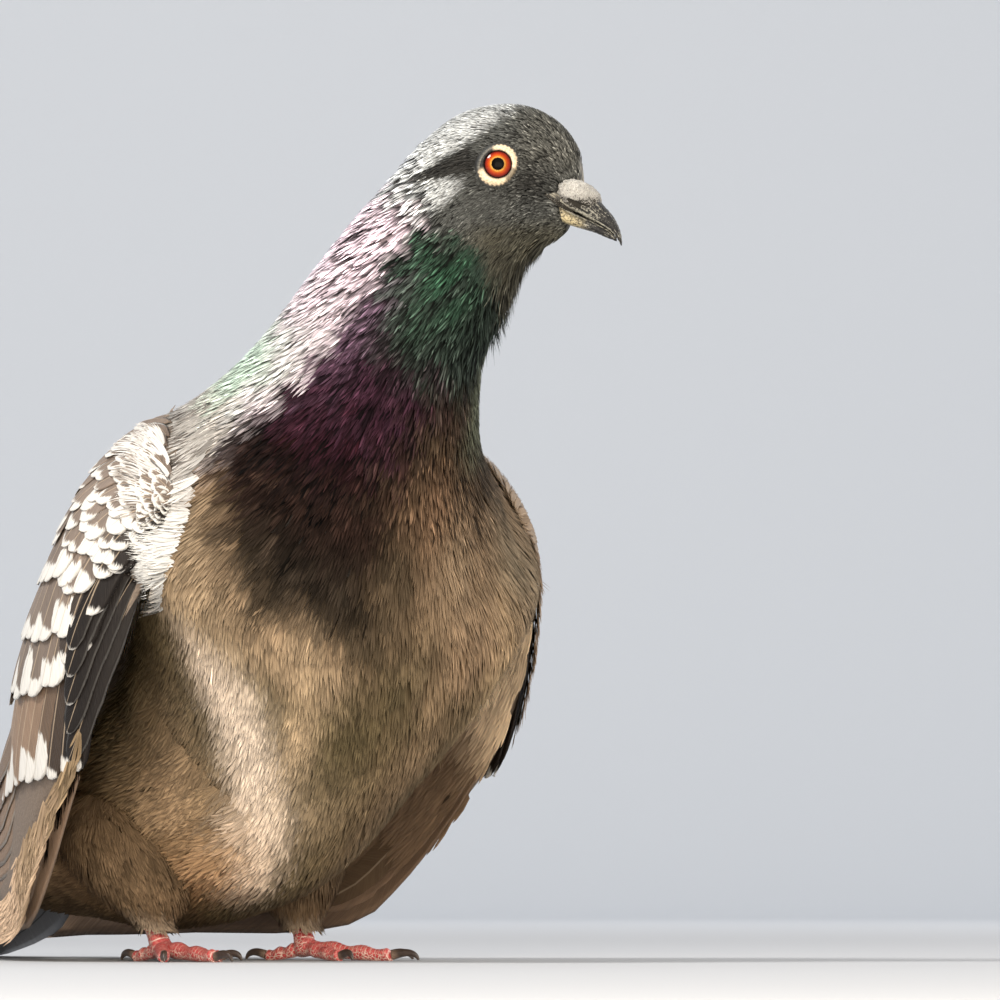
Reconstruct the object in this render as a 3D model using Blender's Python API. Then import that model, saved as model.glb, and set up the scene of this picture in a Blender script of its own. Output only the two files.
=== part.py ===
"""A standing pigeon at life size, as a still museum model.

The bird faces -Y with its left side towards +X and stands on the plane z = 0. Trunk, neck and
head are lengths of one lofted body: rings are set along a spine that runs from the bill's base
over the neck to the root of the tail, and each ring has its own turn and tilt. The wings are
shells that hug the trunk. All solids reach out to the tips of the plumage. The bird is shifted
at the end, so that the origin is under the middle of its box.
"""
import math

import bmesh
import bpy
import numpy as np
from mathutils import Matrix, Vector

# ---------------------------------------------------------------- driving sizes
MM = 0.001
GAP = 0.3             # mm between neighbouring solids
RING_POINTS = 30      # points round the body
HEAD_END = 5.4        # station of the spine where the head ends
NECK_END = 10.6       # station of the spine where the neck ends
KEEL = 0.13           # share of its width that the body's underside loses towards the keel
EYE_RADIUS = 5.2      # mm
EYE_PLACE = (-17.4, 9.4, 8.9)   # mm forward of the spine's first ring, above and beside it

# The spine, one row for each ring: x, y, z of its centre in mm, its turn to the left and its tilt
# above the horizon in degrees, then its half width, height above the centre and depth below it.
SPINE = np.array([
    (32.8, -100.3, 181.8, 44, -20, 4.9, 6.4, 6.4),      # base of the bill
    (31.5, -98.9, 184.6, 44, -15, 7.8, 11.2, 11.2),
    (28.9, -96.2, 187.4, 44, -7, 10.4, 15.0, 15.0),
    (25.0, -92.3, 188.1, 44, 0, 12.2, 18.2, 18.2),      # forehead and chin
    (21.4, -88.5, 186.9, 43, 9, 13.0, 20.3, 20.3),      # crown and cheek
    (17.6, -84.4, 184.2, 41, 18, 13.8, 21.5, 21.8),
    (14.4, -80.2, 179.5, 38, 28, 15.0, 21.4, 22.2),     # back of the head
    (11.8, -75.4, 173.0, 34, 38, 16.6, 21.2, 22.4),
    (9.2, -70.0, 165.0, 29, 48, 19.0, 22.6, 22.4),      # middle of the neck
    (6.6, -63.8, 155.0, 22, 56, 22.2, 24.8, 24.0),
    (4.6, -57.5, 144.0, 14, 60, 26.2, 28.0, 28.4),
    (2.8, -52.0, 132.5, 7, 58, 33.0, 31.5, 34.5),       # foot of the neck
    (1.2, -48.0, 119.0, 2, 53, 45.5, 37.0, 43.0),
    (0.0, -43.0, 105.0, 0, 48, 59.0, 40.5, 51.0),       # shoulders
    (0.0, -35.0, 91.0, 0, 44, 51.5, 42.0, 54.0),
    (0.0, -22.5, 77.0, 0, 40, 41.0, 41.5, 54.0),        # breast and belly
    (0.0, -6.0, 64.0, 0, 34, 33.5, 38.5, 54.0),
    (0.0, 11.5, 52.5, 0, 28, 30.5, 33.0, 46.5),
    (0.0, 29.5, 43.5, 0, 23, 26.5, 25.5, 38.5),         # rump
    (0.0, 47.0, 36.5, 0, 19, 24.0, 17.5, 30.0),
    (0.0, 63.0, 30.5, 0, 16, 18.5, 11.0, 21.0),
    (0.0, 79.0, 24.0, 0, 0, 14.5, 6.5, 12.0),          # tail coverts
], float)

# The left wing, one row for each section from the front to the tip, in mm: x, y, z of its lower
# edge, x, y, z of its upper edge, how far the outside bulges past the line between them, and the
# shell's thickness.
WING = np.array([
    (54.5, -55.0, 100.0, 48.0, -49.0, 118.0, 1.0, 4.0),
    (58.5, -49.0, 86.0, 38.0, -34.0, 131.5, 10.0, 10.0),
    (61.5, -40.0, 66.0, 28.0, -15.0, 131.5, 18.0, 13.0),
    (61.5, -28.0, 46.0, 20.0, 1.0, 117.0, 22.0, 14.0),
    (59.0, -13.0, 31.0, 14.0, 15.0, 99.0, 23.0, 14.0),
    (55.0, 2.0, 18.0, 12.0, 29.0, 83.0, 19.5, 12.0),
    (49.5, 17.5, 7.5, 11.0, 44.0, 66.0, 16.0, 9.0),
    (41.0, 49.0, 4.5, 11.0, 64.0, 47.0, 12.0, 6.0),
    (31.5, 84.0, 4.5, 11.0, 90.0, 31.0, 7.5, 3.5),
    (24.0, 115.0, 5.5, 11.0, 119.0, 18.0, 4.0, 2.0),
    (18.5, 146.0, 7.0, 12.5, 148.0, 10.0, 0.8, 1.2),
], float)
WING_POINTS = 10      # points along the outside of a section
WING_RINGS = 11       # sections drawn for each length of a wing
WING_SPLIT = 5.2      # section where the coverts end and the long flight feathers begin

# The folded tail, one row for each section in mm: y, z of the underside, half width, thickness.
TAIL = np.array([
    (79.3, 12.5, 14.0, 17.5),
    (90.0, 10.0, 15.0, 12.5),
    (104.0, 7.0, 17.0, 7.0),
    (122.0, 3.5, 19.5, 4.0),
    (140.0, 0.8, 21.5, 2.8),
    (156.0, 0.0, 22.8, 2.2),
    (172.0, 0.0, 23.5, 1.8),
], float)

# The bill in the head's middle plane, in mm forward of and above the centre of the spine's first
# ring. Each row: upper line, lower line, half width.
UPPER_BILL = np.array([
    (2.7, 5.6, 0.1, -1.2, 4.2),
    (4.8, 3.4, 2.2, -2.4, 3.8),
    (6.4, 0.9, 4.2, -3.7, 3.2),
    (8.0, -0.9, 6.0, -5.0, 2.6),
    (9.3, -2.7, 7.6, -6.1, 2.1),
    (10.5, -5.2, 9.2, -7.3, 1.5),
    (11.0, -7.4, 10.2, -8.6, 0.8),
    (11.1, -9.2, 10.8, -9.6, 0.4),
], float)
LOWER_BILL = np.array([
    (0.1, -1.7, -1.1, -4.7, 3.7),
    (2.1, -2.9, 2.0, -5.2, 3.1),
    (4.4, -4.3, 4.4, -6.0, 2.4),
    (6.6, -5.7, 6.6, -7.0, 1.6),
    (8.5, -7.1, 8.6, -7.9, 0.8),
], float)
# Each lobe of the cere: its centre forward, up and outwards, its tilt and its half sizes
CERE_PLACE = (1.6, 2.7, 2.0)
CERE_TILT = 24.0
CERE_HALF = (2.2, 5.0, 2.7)

# Feet, in mm: where the toes meet, turned outwards by HEADING degrees
FOOT_X, FOOT_Y, FOOT_Z = 21.5, -2.5, 3.2
HEADING = {"left": 24.0, "right": 2.0}
LEG_TOP = 9.5                 # above the ground, where the feathered thigh ends
LEG_LEAN = (1.0, 6.0, 12.0)   # direction of the leg upwards from the toes: outwards, back, up
TARSUS_RADII = (2.9, 2.5, 2.6)
TARSUS_SIDES, TOE_SIDES = 12, 8
# Toes: degrees outwards from the foot's own heading, length without the claw, radius at the root
TOES = {
    "inner": (-28.0, 17.0, 2.1),
    "middle": (0.0, 25.0, 2.3),
    "outer": (30.0, 20.5, 2.1),
    "hind": (178.0, 11.5, 2.0),
}
TOE_TAPER = 0.28              # share of its radius that a toe loses to its end
PAD_SWELL = 0.10              # how far the pads under a toe swell its radius
SOLE = 0.35                   # how far a toe's round underside is flattened
CLAW_LENGTH = {"inner": 5.5, "middle": 7.5, "outer": 6.0, "hind": 6.0}
CLAW_RADII = (1.15, 1.0, 0.75, 0.3)
# The thigh: heights above the leg's top, and radii there
THIGH = ((0.0, 5.5), (5.0, 9.0), (12.0, 13.5), (24.0, 18.0))

SIDES = {"left": 1, "right": -1}

# Where the rings of head, neck and trunk are drawn: the spine's places are about 10 mm apart.
HALF_CUT = GAP / 2 / 10.0
HEAD_RINGS = np.linspace(0.0, HEAD_END - HALF_CUT, 15)
NECK_RINGS = np.linspace(HEAD_END + HALF_CUT, NECK_END - HALF_CUT, 11)
TRUNK_RINGS = np.linspace(NECK_END + HALF_CUT, len(SPINE) - 1, 20)


# ---------------------------------------------------------------- shapes
def spline(rows, t):
    """Rows of a table read at the places t by a Catmull-Rom curve through them."""
    t = np.atleast_1d(np.clip(t, 0, len(rows) - 1))
    k = np.minimum(t.astype(int), len(rows) - 2)
    s = (t - k)[:, None]
    p0, p1, p2, p3 = (rows[np.clip(k + d, 0, len(rows) - 1)] for d in (-1, 0, 1, 2))
    return 0.5 * (2 * p1 + (p2 - p0) * s + (2 * p0 - 5 * p1 + 4 * p2 - p3) * s ** 2
                  + (3 * p1 - p0 - 3 * p2 + p3) * s ** 3)


def body(t, theta, grow=0.0):
    """Points in mm on the body at spine places t and angles theta from the back, to the left.

    P = C + U * (up or down) * cos(theta) + L * width * keel * sin(theta), where the keel factor
    narrows the underside: 1 - KEEL * cos(theta)^2 below the centre, 1 above it.
    """
    row = spline(SPINE, t)
    turn, tilt = np.radians(row[:, 3]), np.radians(row[:, 4])
    up = np.stack([-np.sin(turn) * np.sin(tilt), np.cos(turn) * np.sin(tilt), np.cos(tilt)], -1)
    left = np.stack([np.cos(turn), np.sin(turn), np.zeros_like(turn)], -1)
    c, s = np.cos(theta)[None, :, None], np.sin(theta)[None, :, None]
    height = np.where(c > 0, row[:, 6, None, None], row[:, 7, None, None]) + grow
    width = row[:, 5, None, None] * np.where(c > 0, 1.0, 1 - KEEL * c ** 2) + grow
    return row[:, None, :3] + up[:, None] * height * c + left[:, None] * width * s


def head_point(forward, up, left=0.0):
    """A point in mm measured along the head from the centre of the spine's first ring."""
    turn = math.radians(SPINE[0, 3])
    return Vector(SPINE[0, :3]) + Vector((math.sin(turn) * forward + math.cos(turn) * left,
                                          -math.cos(turn) * forward + math.sin(turn) * left, up))


def make_material(name, colour, roughness, metallic=0.0):
    material = bpy.data.materials.new(name)
    material.use_nodes = True
    shader = material.node_tree.nodes["Principled BSDF"]
    shader.inputs["Base Color"].default_value = (*colour, 1.0)
    shader.inputs["Roughness"].default_value = roughness
    shader.inputs["Metallic"].default_value = metallic
    material.diffuse_color = (*colour, 1.0)
    return material


def add_mesh(name, bm, material=None):
    """The mesh in bm, in mm, as a closed object facing outwards; a cutter has no material."""
    bmesh.ops.recalc_face_normals(bm, faces=bm.faces)
    bmesh.ops.scale(bm, vec=(MM, MM, MM), verts=bm.verts)
    mesh = bpy.data.meshes.new(name)
    bm.to_mesh(mesh)
    bm.free()
    thing = bpy.data.objects.new(name, mesh)
    bpy.context.scene.collection.objects.link(thing)
    if material is None:
        thing.hide_render = True
        thing.display_type = "WIRE"
    else:
        mesh.materials.append(material)
    return thing


def loft(rings):
    """A closed mesh through rings of equally many points, with a flat face at either end."""
    bm = bmesh.new()
    loops = [[bm.verts.new(point) for point in ring] for ring in rings]
    for near, far in zip(loops, loops[1:]):
        for i in range(len(near)):
            j = (i + 1) % len(near)
            bm.faces.new((near[i], near[j], far[j], far[i]))
    bm.faces.new(loops[0])
    bm.faces.new(reversed(loops[-1]))
    return bm


def body_length(places, grow=0.0):
    """The body's closed mesh through rings at these places of the spine."""
    theta = np.linspace(0, 2 * math.pi, RING_POINTS, endpoint=False)
    return loft(body(places, theta, grow))


def tube(points, radii, sides=8):
    """Rings round a route; each ring's plane halves the bend there. Points sink no lower than 0."""
    rings = []
    for i, point in enumerate(points):
        along = (points[min(i + 1, len(points) - 1)] - points[max(i - 1, 0)]).normalized()
        across = along.cross(Vector((0, 0, 1)))
        across = across.normalized() if across.length > 0.1 else Vector((1, 0, 0))
        other = across.cross(along)
        ring = []
        for k in range(sides):
            a = 2 * math.pi * (k + 0.5) / sides
            p = point + (across * math.cos(a) + other * math.sin(a)) * radii[i]
            ring.append((p.x, p.y, max(p.z, 0.0)))
        rings.append(ring)
    return rings


def ball(centre, radius, segments=16, rings=10):
    bm = bmesh.new()
    bmesh.ops.create_uvsphere(bm, u_segments=segments, v_segments=rings, radius=radius,
                              matrix=Matrix.Translation(centre))
    return bm


def boolean(thing, other, operation):
    """A Boolean with a helper object, which isn't drawn itself."""
    modifier = thing.modifiers.new(operation.lower() + "_" + other.name, "BOOLEAN")
    modifier.operation = operation
    modifier.solver = "EXACT"
    modifier.object = other
    other.hide_render = True


# ---------------------------------------------------------------- sub-parts
def make_body():
    """Head, neck and trunk, with sockets for the eyes."""
    head = add_mesh("head", body_length(HEAD_RINGS),
                    make_material("slate_head_feathers", (0.13, 0.14, 0.16), 0.7))
    add_mesh("neck", body_length(NECK_RINGS),
             make_material("glossy_neck_feathers", (0.16, 0.13, 0.20), 0.4))
    add_mesh("trunk", body_length(TRUNK_RINGS),
             make_material("breast_and_belly_feathers", (0.30, 0.24, 0.17), 0.75))
    iris = make_material("orange_iris", (0.75, 0.18, 0.03), 0.1)
    for side, sign in SIDES.items():
        centre = eye_centre(sign)
        add_mesh("eye_" + side, ball(centre, EYE_RADIUS), iris)
        boolean(head, add_mesh("cutter_eye_" + side, ball(centre, EYE_RADIUS + GAP)), "DIFFERENCE")


def eye_centre(sign):
    """Centre of an eyeball, of which just a low dome shows beside the head."""
    forward, up, aside = EYE_PLACE
    return head_point(forward, up, sign * aside)


def make_bill():
    """The upper bill with its hooked tip, and the lower bill."""
    horn = make_material("dark_horn", (0.05, 0.05, 0.06), 0.35)
    angles = np.linspace(0, 2 * math.pi, 12, endpoint=False)
    left = head_point(0, 0, 1) - head_point(0, 0, 0)
    for name, rows in (("bill_upper", UPPER_BILL), ("bill_lower", LOWER_BILL)):
        rings = []
        for row in rows:
            top, low = head_point(row[0], row[1]), head_point(row[2], row[3])
            rings.append([(top + low) / 2 + (top - low) / 2 * math.cos(a)
                          + left * row[4] * math.sin(a) for a in angles])
        add_mesh(name, loft(rings), horn)


def cere_lobe(sign, grow=0.0):
    """One swollen lobe beside the middle of the bill, as a ball drawn long and tilted."""
    forward, up, aside = CERE_PLACE
    place = (Matrix.Translation(head_point(forward, up, sign * aside))
             @ Matrix.Rotation(math.radians(SPINE[0, 3]), 4, "Z")
             @ Matrix.Rotation(math.radians(CERE_TILT), 4, "X")
             @ Matrix.Diagonal((*(half + grow for half in CERE_HALF), 1.0)))
    bm = ball(Vector(), 1.0, 14, 8)
    bmesh.ops.transform(bm, matrix=place, verts=bm.verts)
    return bm


def make_cere():
    """The pale pad over the nostrils, set into the bill's base and the face."""
    chalk = make_material("chalky_cere", (0.72, 0.70, 0.66), 0.8)
    cere = add_mesh("cere", cere_lobe(1), chalk)
    boolean(cere, add_mesh("cutter_right_lobe", cere_lobe(-1)), "UNION")
    for side, sign in SIDES.items():
        room = add_mesh("cutter_cere_" + side, cere_lobe(sign, GAP))
        for name in ("bill_upper", "head"):
            boolean(bpy.data.objects[name], room, "DIFFERENCE")


def wing_section(row, sign):
    """One section of a folded wing: a crescent whose inside is later cut to the body's shape."""
    low, top = Vector(row[0:3]), Vector(row[3:6])
    chord = top - low
    out = Vector((1, 0, 0)) - chord * (chord.x / chord.length_squared)
    out.normalize()
    bulge, thickness = row[6], row[7]
    edge = 0.3 + 0.1 * thickness
    outside, inside = [], []
    for share in np.linspace(0, 1, WING_POINTS):
        swell = math.sin(math.pi * share) ** 0.8 if 0 < share < 1 else 0.0
        middle = low + chord * share
        outside.append(middle + out * (bulge * swell + edge))
        inside.append(middle + out * ((bulge - 0.8 * thickness) * swell - edge))
    return [(sign * p.x, p.y, max(p.z, 0.0)) for p in outside + inside[::-1]]


def make_wings(cutter):
    """Each wing in two lengths: the coverts, and the long flight feathers behind them."""
    coverts = make_material("grey_brown_coverts", (0.35, 0.33, 0.31), 0.6)
    quills = make_material("dark_flight_feathers", (0.13, 0.11, 0.10), 0.55)
    cut = GAP / 2 / 20.0      # sections are about 20 mm apart there
    lengths = (("wing_", 0.0, WING_SPLIT - cut, coverts),
               ("flight_feathers_", WING_SPLIT + cut, len(WING) - 1, quills))
    for side, sign in SIDES.items():
        for name, start, end, material in lengths:
            rows = spline(WING, np.linspace(start, end, WING_RINGS))
            wing = add_mesh(name + side, loft([wing_section(row, sign) for row in rows]), material)
            boolean(wing, cutter, "DIFFERENCE")


def make_tail():
    """The closed tail, a plate that thins towards its end and lies on the ground there."""
    rings = []
    for y, bottom, half, thick in spline(TAIL, np.linspace(0, len(TAIL) - 1, 14)):
        ring = []
        for a in np.linspace(0, 2 * math.pi, 16, endpoint=False):
            wide = math.copysign(abs(math.cos(a)) ** 0.7, math.cos(a))
            high = math.copysign(abs(math.sin(a)) ** 0.5, math.sin(a))
            ring.append((half * wide, y, max(bottom, 0.0) + thick * (1 + high) / 2))
        rings.append(ring)
    add_mesh("tail", loft(rings), make_material("grey_tail_feathers", (0.22, 0.22, 0.24), 0.6))


def toe_route(joint, along, length, radius):
    """Points and radii of a toe that comes down from the joint and lies on its flat sole."""
    points, radii = [], []
    for share in np.linspace(0, 1, 9):
        r = radius * (1 - TOE_TAPER * share) * (1 + PAD_SWELL * math.cos(6 * math.pi * share))
        down = 1 - (1 - share) ** 2
        point = joint + along * (length * share)
        point.z = joint.z * (1 - down) + (r - SOLE) * down
        points.append(point)
        radii.append(r)
    return points, radii


def claw_route(start, along, length):
    """Points of a claw that arches over and comes down to the ground at its tip."""
    points = []
    for share in np.linspace(0, 1, len(CLAW_RADII)):
        point = start + along * (length * math.sin(share * math.radians(80)))
        point.z = start.z + 0.9 * math.sin(math.pi * share) - (start.z - CLAW_RADII[-1]) * share ** 2
        points.append(point)
    return points


def make_legs(cutter):
    """Feathered thighs, and bare legs whose toes lie on the ground, each with its claw."""
    down = make_material("tan_thigh_feathers", (0.42, 0.34, 0.26), 0.8)
    skin = make_material("pink_scaly_skin", (0.62, 0.16, 0.15), 0.5)
    horn = bpy.data.materials["dark_horn"]
    for side, sign in SIDES.items():
        joint = Vector((sign * FOOT_X, FOOT_Y, FOOT_Z))
        lean = Vector((sign * LEG_LEAN[0], LEG_LEAN[1], LEG_LEAN[2])) / LEG_LEAN[2]
        rise = LEG_TOP - GAP - joint.z
        rings = tube([joint, joint + lean * rise / 2, joint + lean * rise],
                     TARSUS_RADII, TARSUS_SIDES)
        rings[-1] = [(x, y, LEG_TOP - GAP) for x, y, z in rings[-1]]
        leg = add_mesh("leg_" + side, loft(rings), skin)
        for toe, (spread, length, radius) in TOES.items():
            angle = math.radians(HEADING[side] + spread)
            along = Vector((sign * math.sin(angle), -math.cos(angle), 0))
            points, radii = toe_route(joint, along, length, radius)
            name = toe + "_" + side
            boolean(leg, add_mesh("cutter_toe_" + name, loft(tube(points, radii, TOE_SIDES))),
                    "UNION")
            start = points[-1] + along * GAP
            start.z = CLAW_RADII[0] + 0.2
            add_mesh("claw_" + name,
                     loft(tube(claw_route(start, along, CLAW_LENGTH[toe]), CLAW_RADII, 8)), horn)
        rings = []
        for height, radius in THIGH:
            centre = joint + lean * (LEG_TOP + height - joint.z)
            rings.append([(centre.x + radius * math.cos(a), centre.y + radius * math.sin(a),
                           centre.z) for a in np.linspace(0, 2 * math.pi, 20, endpoint=False)])
        boolean(add_mesh("thigh_" + side, loft(rings), down), cutter, "DIFFERENCE")


def centre_on_box():
    """Shifts the bird so that the origin is under the middle of its box."""
    bpy.context.view_layer.update()
    graph = bpy.context.evaluated_depsgraph_get()
    corners = [thing.matrix_world @ Vector(corner)
               for thing in bpy.data.objects if not thing.hide_render
               for corner in thing.evaluated_get(graph).bound_box]
    low = Vector(map(min, zip(*corners)))
    high = Vector(map(max, zip(*corners)))
    for thing in bpy.data.objects:
        thing.location -= Vector(((low.x + high.x) / 2, (low.y + high.y) / 2, low.z))


def main():
    for thing in list(bpy.data.objects):
        bpy.data.objects.remove(thing, do_unlink=True)
    bpy.context.scene.unit_settings.scale_length = 1.0
    make_body()
    make_bill()
    make_cere()
    cutter = add_mesh("cutter_body", body_length(np.append(NECK_RINGS, TRUNK_RINGS), GAP))
    make_wings(cutter)
    make_tail()
    make_legs(cutter)
    centre_on_box()


main()
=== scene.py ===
# %% [markdown]
# # A standing rock pigeon
# A life-size pigeon is built here around a finished frame of plain solids. The frame gives the size
# and the place of every part of the bird; this file gives each of them its look. One skin is drawn
# first, then the coat of small feathers, the two wings and the tail feather by feather, and last the
# bare parts: eyes, bill, cere, legs and claws. Everything is worked out in millimetres in the bird's
# own frame, with its breast towards -Y and its left side towards +X, and turned to metres at the end.

# %% The frame
import math

import bpy
import numpy as np
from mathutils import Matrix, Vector


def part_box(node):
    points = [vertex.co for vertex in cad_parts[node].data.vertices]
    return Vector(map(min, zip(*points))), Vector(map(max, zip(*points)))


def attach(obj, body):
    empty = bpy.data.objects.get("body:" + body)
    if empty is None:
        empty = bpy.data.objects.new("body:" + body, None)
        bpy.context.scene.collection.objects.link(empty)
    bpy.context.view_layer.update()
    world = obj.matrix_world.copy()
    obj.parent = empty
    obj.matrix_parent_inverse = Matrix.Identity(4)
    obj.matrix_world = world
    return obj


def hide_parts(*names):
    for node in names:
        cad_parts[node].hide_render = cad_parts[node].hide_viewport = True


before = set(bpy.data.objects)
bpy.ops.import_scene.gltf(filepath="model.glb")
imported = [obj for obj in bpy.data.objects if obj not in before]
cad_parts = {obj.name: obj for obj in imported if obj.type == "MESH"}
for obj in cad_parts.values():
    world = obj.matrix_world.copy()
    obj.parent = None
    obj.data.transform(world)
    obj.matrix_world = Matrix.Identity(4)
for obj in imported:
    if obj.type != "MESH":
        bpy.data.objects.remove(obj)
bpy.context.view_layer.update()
MM = 0.001
TURN = 2 * math.pi
RIGHT, LEFT = -1, 1
SIDES = {"left": LEFT, "right": RIGHT}

# %% [markdown]
# ## The form of the body
# Head, neck and trunk of a bird are one flowing shape. It could be sculpted, or gathered from balls,
# but a spine with an oval at each place is easier to measure and to change: every point of the body
# is then a function of two numbers, how far it lies along the spine and at which angle round it.
# The same two numbers later place each feather and tell its colour.

# %% The spine
# Places along the spine, in mm and degrees: x, y, z of the centre, how far the ring is turned about
# Z and tilted forwards, then its half width, its height above the centre and its depth below it.
SPINE = np.array([
    (32.8, -100.3, 181.8, 44, -20, 4.9, 6.4, 6.4),      # base of the bill
    (31.5, -98.9, 184.6, 44, -15, 7.8, 11.2, 11.2),
    (28.9, -96.2, 187.4, 44, -7, 10.4, 15.0, 15.0),
    (25.0, -92.3, 188.1, 44, 0, 12.2, 18.2, 18.2),      # forehead and chin
    (21.4, -88.5, 186.9, 43, 9, 13.0, 20.3, 20.3),      # crown and cheek
    (17.6, -84.4, 184.2, 41, 18, 13.8, 21.5, 21.8),
    (14.4, -80.2, 179.5, 38, 28, 15.0, 21.4, 22.2),     # back of the head
    (11.8, -75.4, 173.0, 34, 38, 16.6, 21.2, 22.4),
    (9.2, -70.0, 165.0, 29, 48, 19.0, 22.6, 22.4),      # middle of the neck
    (6.6, -63.8, 155.0, 22, 56, 22.2, 24.8, 24.0),
    (4.6, -57.5, 144.0, 14, 60, 26.2, 28.0, 28.4),
    (2.8, -52.0, 132.5, 7, 58, 33.0, 31.5, 34.5),       # foot of the neck
    (1.2, -48.0, 119.0, 2, 53, 45.5, 37.0, 43.0),
    (0.0, -43.0, 105.0, 0, 48, 59.0, 40.5, 51.0),       # shoulders
    (0.0, -35.0, 91.0, 0, 44, 51.5, 42.0, 54.0),
    (0.0, -22.5, 77.0, 0, 40, 41.0, 41.5, 54.0),        # breast and belly
    (0.0, -6.0, 64.0, 0, 34, 33.5, 38.5, 54.0),
    (0.0, 11.5, 52.5, 0, 28, 30.5, 33.0, 46.5),
    (0.0, 29.5, 43.5, 0, 23, 26.5, 25.5, 38.5),         # rump
    (0.0, 47.0, 36.5, 0, 19, 24.0, 17.5, 30.0),
    (0.0, 63.0, 30.5, 0, 16, 18.5, 11.0, 21.0),
    (0.0, 79.0, 24.0, 0, 0, 14.5, 6.5, 12.0),           # tail coverts
], float)
KEEL = 0.13           # how much narrower the body is towards its underside
FACE_PINCH = 0.45
SPINE_END = len(SPINE) - 1.0


print("the spine has", len(SPINE), "places")

# %% Curves and steps
def read_table(rows, place):
    """Rows of a table at fractional places, by a Catmull-Rom curve through them.

    With s the way from row 1 to row 2: half of (2 p1 + (p2 - p0) s + (2 p0 - 5 p1 + 4 p2 - p3) s^2
    + (3 p1 - p0 - 3 p2 + p3) s^3).
    """
    place = np.clip(place, 0, len(rows) - 1)
    k = np.minimum(place.astype(int), len(rows) - 2)
    s = (place - k)[..., None]
    p0, p1, p2, p3 = (rows[np.clip(k + d, 0, len(rows) - 1)] for d in (-1, 0, 1, 2))
    return 0.5 * (2 * p1 + (p2 - p0) * s + (2 * p0 - 5 * p1 + 4 * p2 - p3) * s ** 2
                  + (3 * p1 - p0 - 3 * p2 + p3) * s ** 3)


def unit(vectors):
    """The same vectors, each one unit long."""
    return vectors / np.maximum(np.linalg.norm(vectors, axis=-1, keepdims=True), 1e-9)


def soft(x, start, end):
    """0 up to start and 1 from end on, with the smooth step 3 s^2 - 2 s^3 between them."""
    s = np.clip((x - start) / (end - start), 0, 1)
    return s * s * (3 - 2 * s)


def bell(x, centre, reach):
    """exp(-((x - centre) / reach)^2): 1 at the centre, and 0.37 at a reach from it."""
    return np.exp(-((x - centre) / reach) ** 2)


def round_angles(count):
    """Angles evenly round a full turn."""
    return np.linspace(0, TURN, count, endpoint=False)


print("a soft step and a bell half way:", float(soft(0.5, 0, 1)), float(bell(0.5, 0, 1).round(2)))

# %% Body shape
def body(t, theta, grow=0.0):
    """Points of the body at spine places t and angles theta, which start at the back, to the left.

    P = C + U (height + grow) cos(theta) + L (width + grow) sin(theta); below the centre the width
    is first multiplied by 1 - KEEL cos(theta)^2.
    """
    t, theta, grow = np.broadcast_arrays(np.asarray(t, float), theta, grow)
    row = read_table(SPINE, t)
    turn, tilt = np.radians(row[..., 3]), np.radians(row[..., 4])
    up = np.stack([-np.sin(turn) * np.sin(tilt), np.cos(turn) * np.sin(tilt), np.cos(tilt)], -1)
    left = np.stack([np.cos(turn), np.sin(turn), np.zeros_like(turn)], -1)
    c, s = np.cos(theta), np.sin(theta)
    height = np.where(c > 0, row[..., 6], row[..., 7]) + grow
    width = row[..., 5] * np.where(c > 0, 1.0, 1 - KEEL * c ** 2) + grow
    return narrowed(row[..., :3] + up * (height * c)[..., None] + left * (width * s)[..., None])


def narrowed(points):
    """The face drawn in towards the bill: in front of the eyes it loses up to FACE_PINCH of its width."""
    off = points - SPINE[0, :3]
    ahead, above, aside = off @ FORWARD, off[..., 2], off @ HEAD_LEFT
    share = FACE_PINCH * soft(ahead, -13, -3) * (1 - 0.5 * soft(above, 6, 14))
    return points - HEAD_LEFT * (aside * share)[..., None]

# %% [markdown]
# ### Directions of the head
# The head looks to the bird's left, so bill, cere and eyes are placed by how far they lie forward,
# up and aside along the head's own axes, and not along those of the world.

# %% Head frame and eyes
HEAD_TURN = math.radians(SPINE[0, 3])
FORWARD = np.array([math.sin(HEAD_TURN), -math.cos(HEAD_TURN), 0.0])
HEAD_LEFT = np.array([math.cos(HEAD_TURN), math.sin(HEAD_TURN), 0.0])
UP = np.array([0.0, 0.0, 1.0])
EYE_PLACE = (-17.4, 9.4, 8.9)     # forward, up and aside from the spine's first place
EYE_RADIUS = 5.2


def head_point(forward, up, left=0.0):
    """A point measured along the head from the centre of the spine's first place."""
    return SPINE[0, :3] + FORWARD * forward + UP * up + HEAD_LEFT * left


EYE_CENTRE = {sign: head_point(EYE_PLACE[0], EYE_PLACE[1], sign * EYE_PLACE[2])
              for sign in (LEFT, RIGHT)}
EYE_AXIS = {sign: unit(HEAD_LEFT * sign + FORWARD * 0.16 + UP * 0.03) for sign in (LEFT, RIGHT)}
eye_low, eye_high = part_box("eye_left")
SHIFT = np.array((eye_low + eye_high) / 2) / MM - EYE_CENTRE[LEFT]
print("the bird's own frame is shifted by", SHIFT.round(2), "mm")

# %% [markdown]
# ## From numbers to meshes
# Every piece of the bird is a set of grids or of small closed blades. One function takes the points
# and faces of a piece, with the values that its material reads at each point or corner, and puts
# them into a mesh in one go. That is far quicker than adding vertices one at a time.

# %% Mesh helpers
def linked(name, data):
    """An object for a mesh, camera or light, put into the scene."""
    thing = bpy.data.objects.new(name, data)
    bpy.context.scene.collection.objects.link(thing)
    return thing


def hand_over(thing, replaces=()):
    """Lets a piece ride on the one body and hides the solids it stands for."""
    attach(thing, "root")
    if replaces:
        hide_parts(*replaces)


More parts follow.
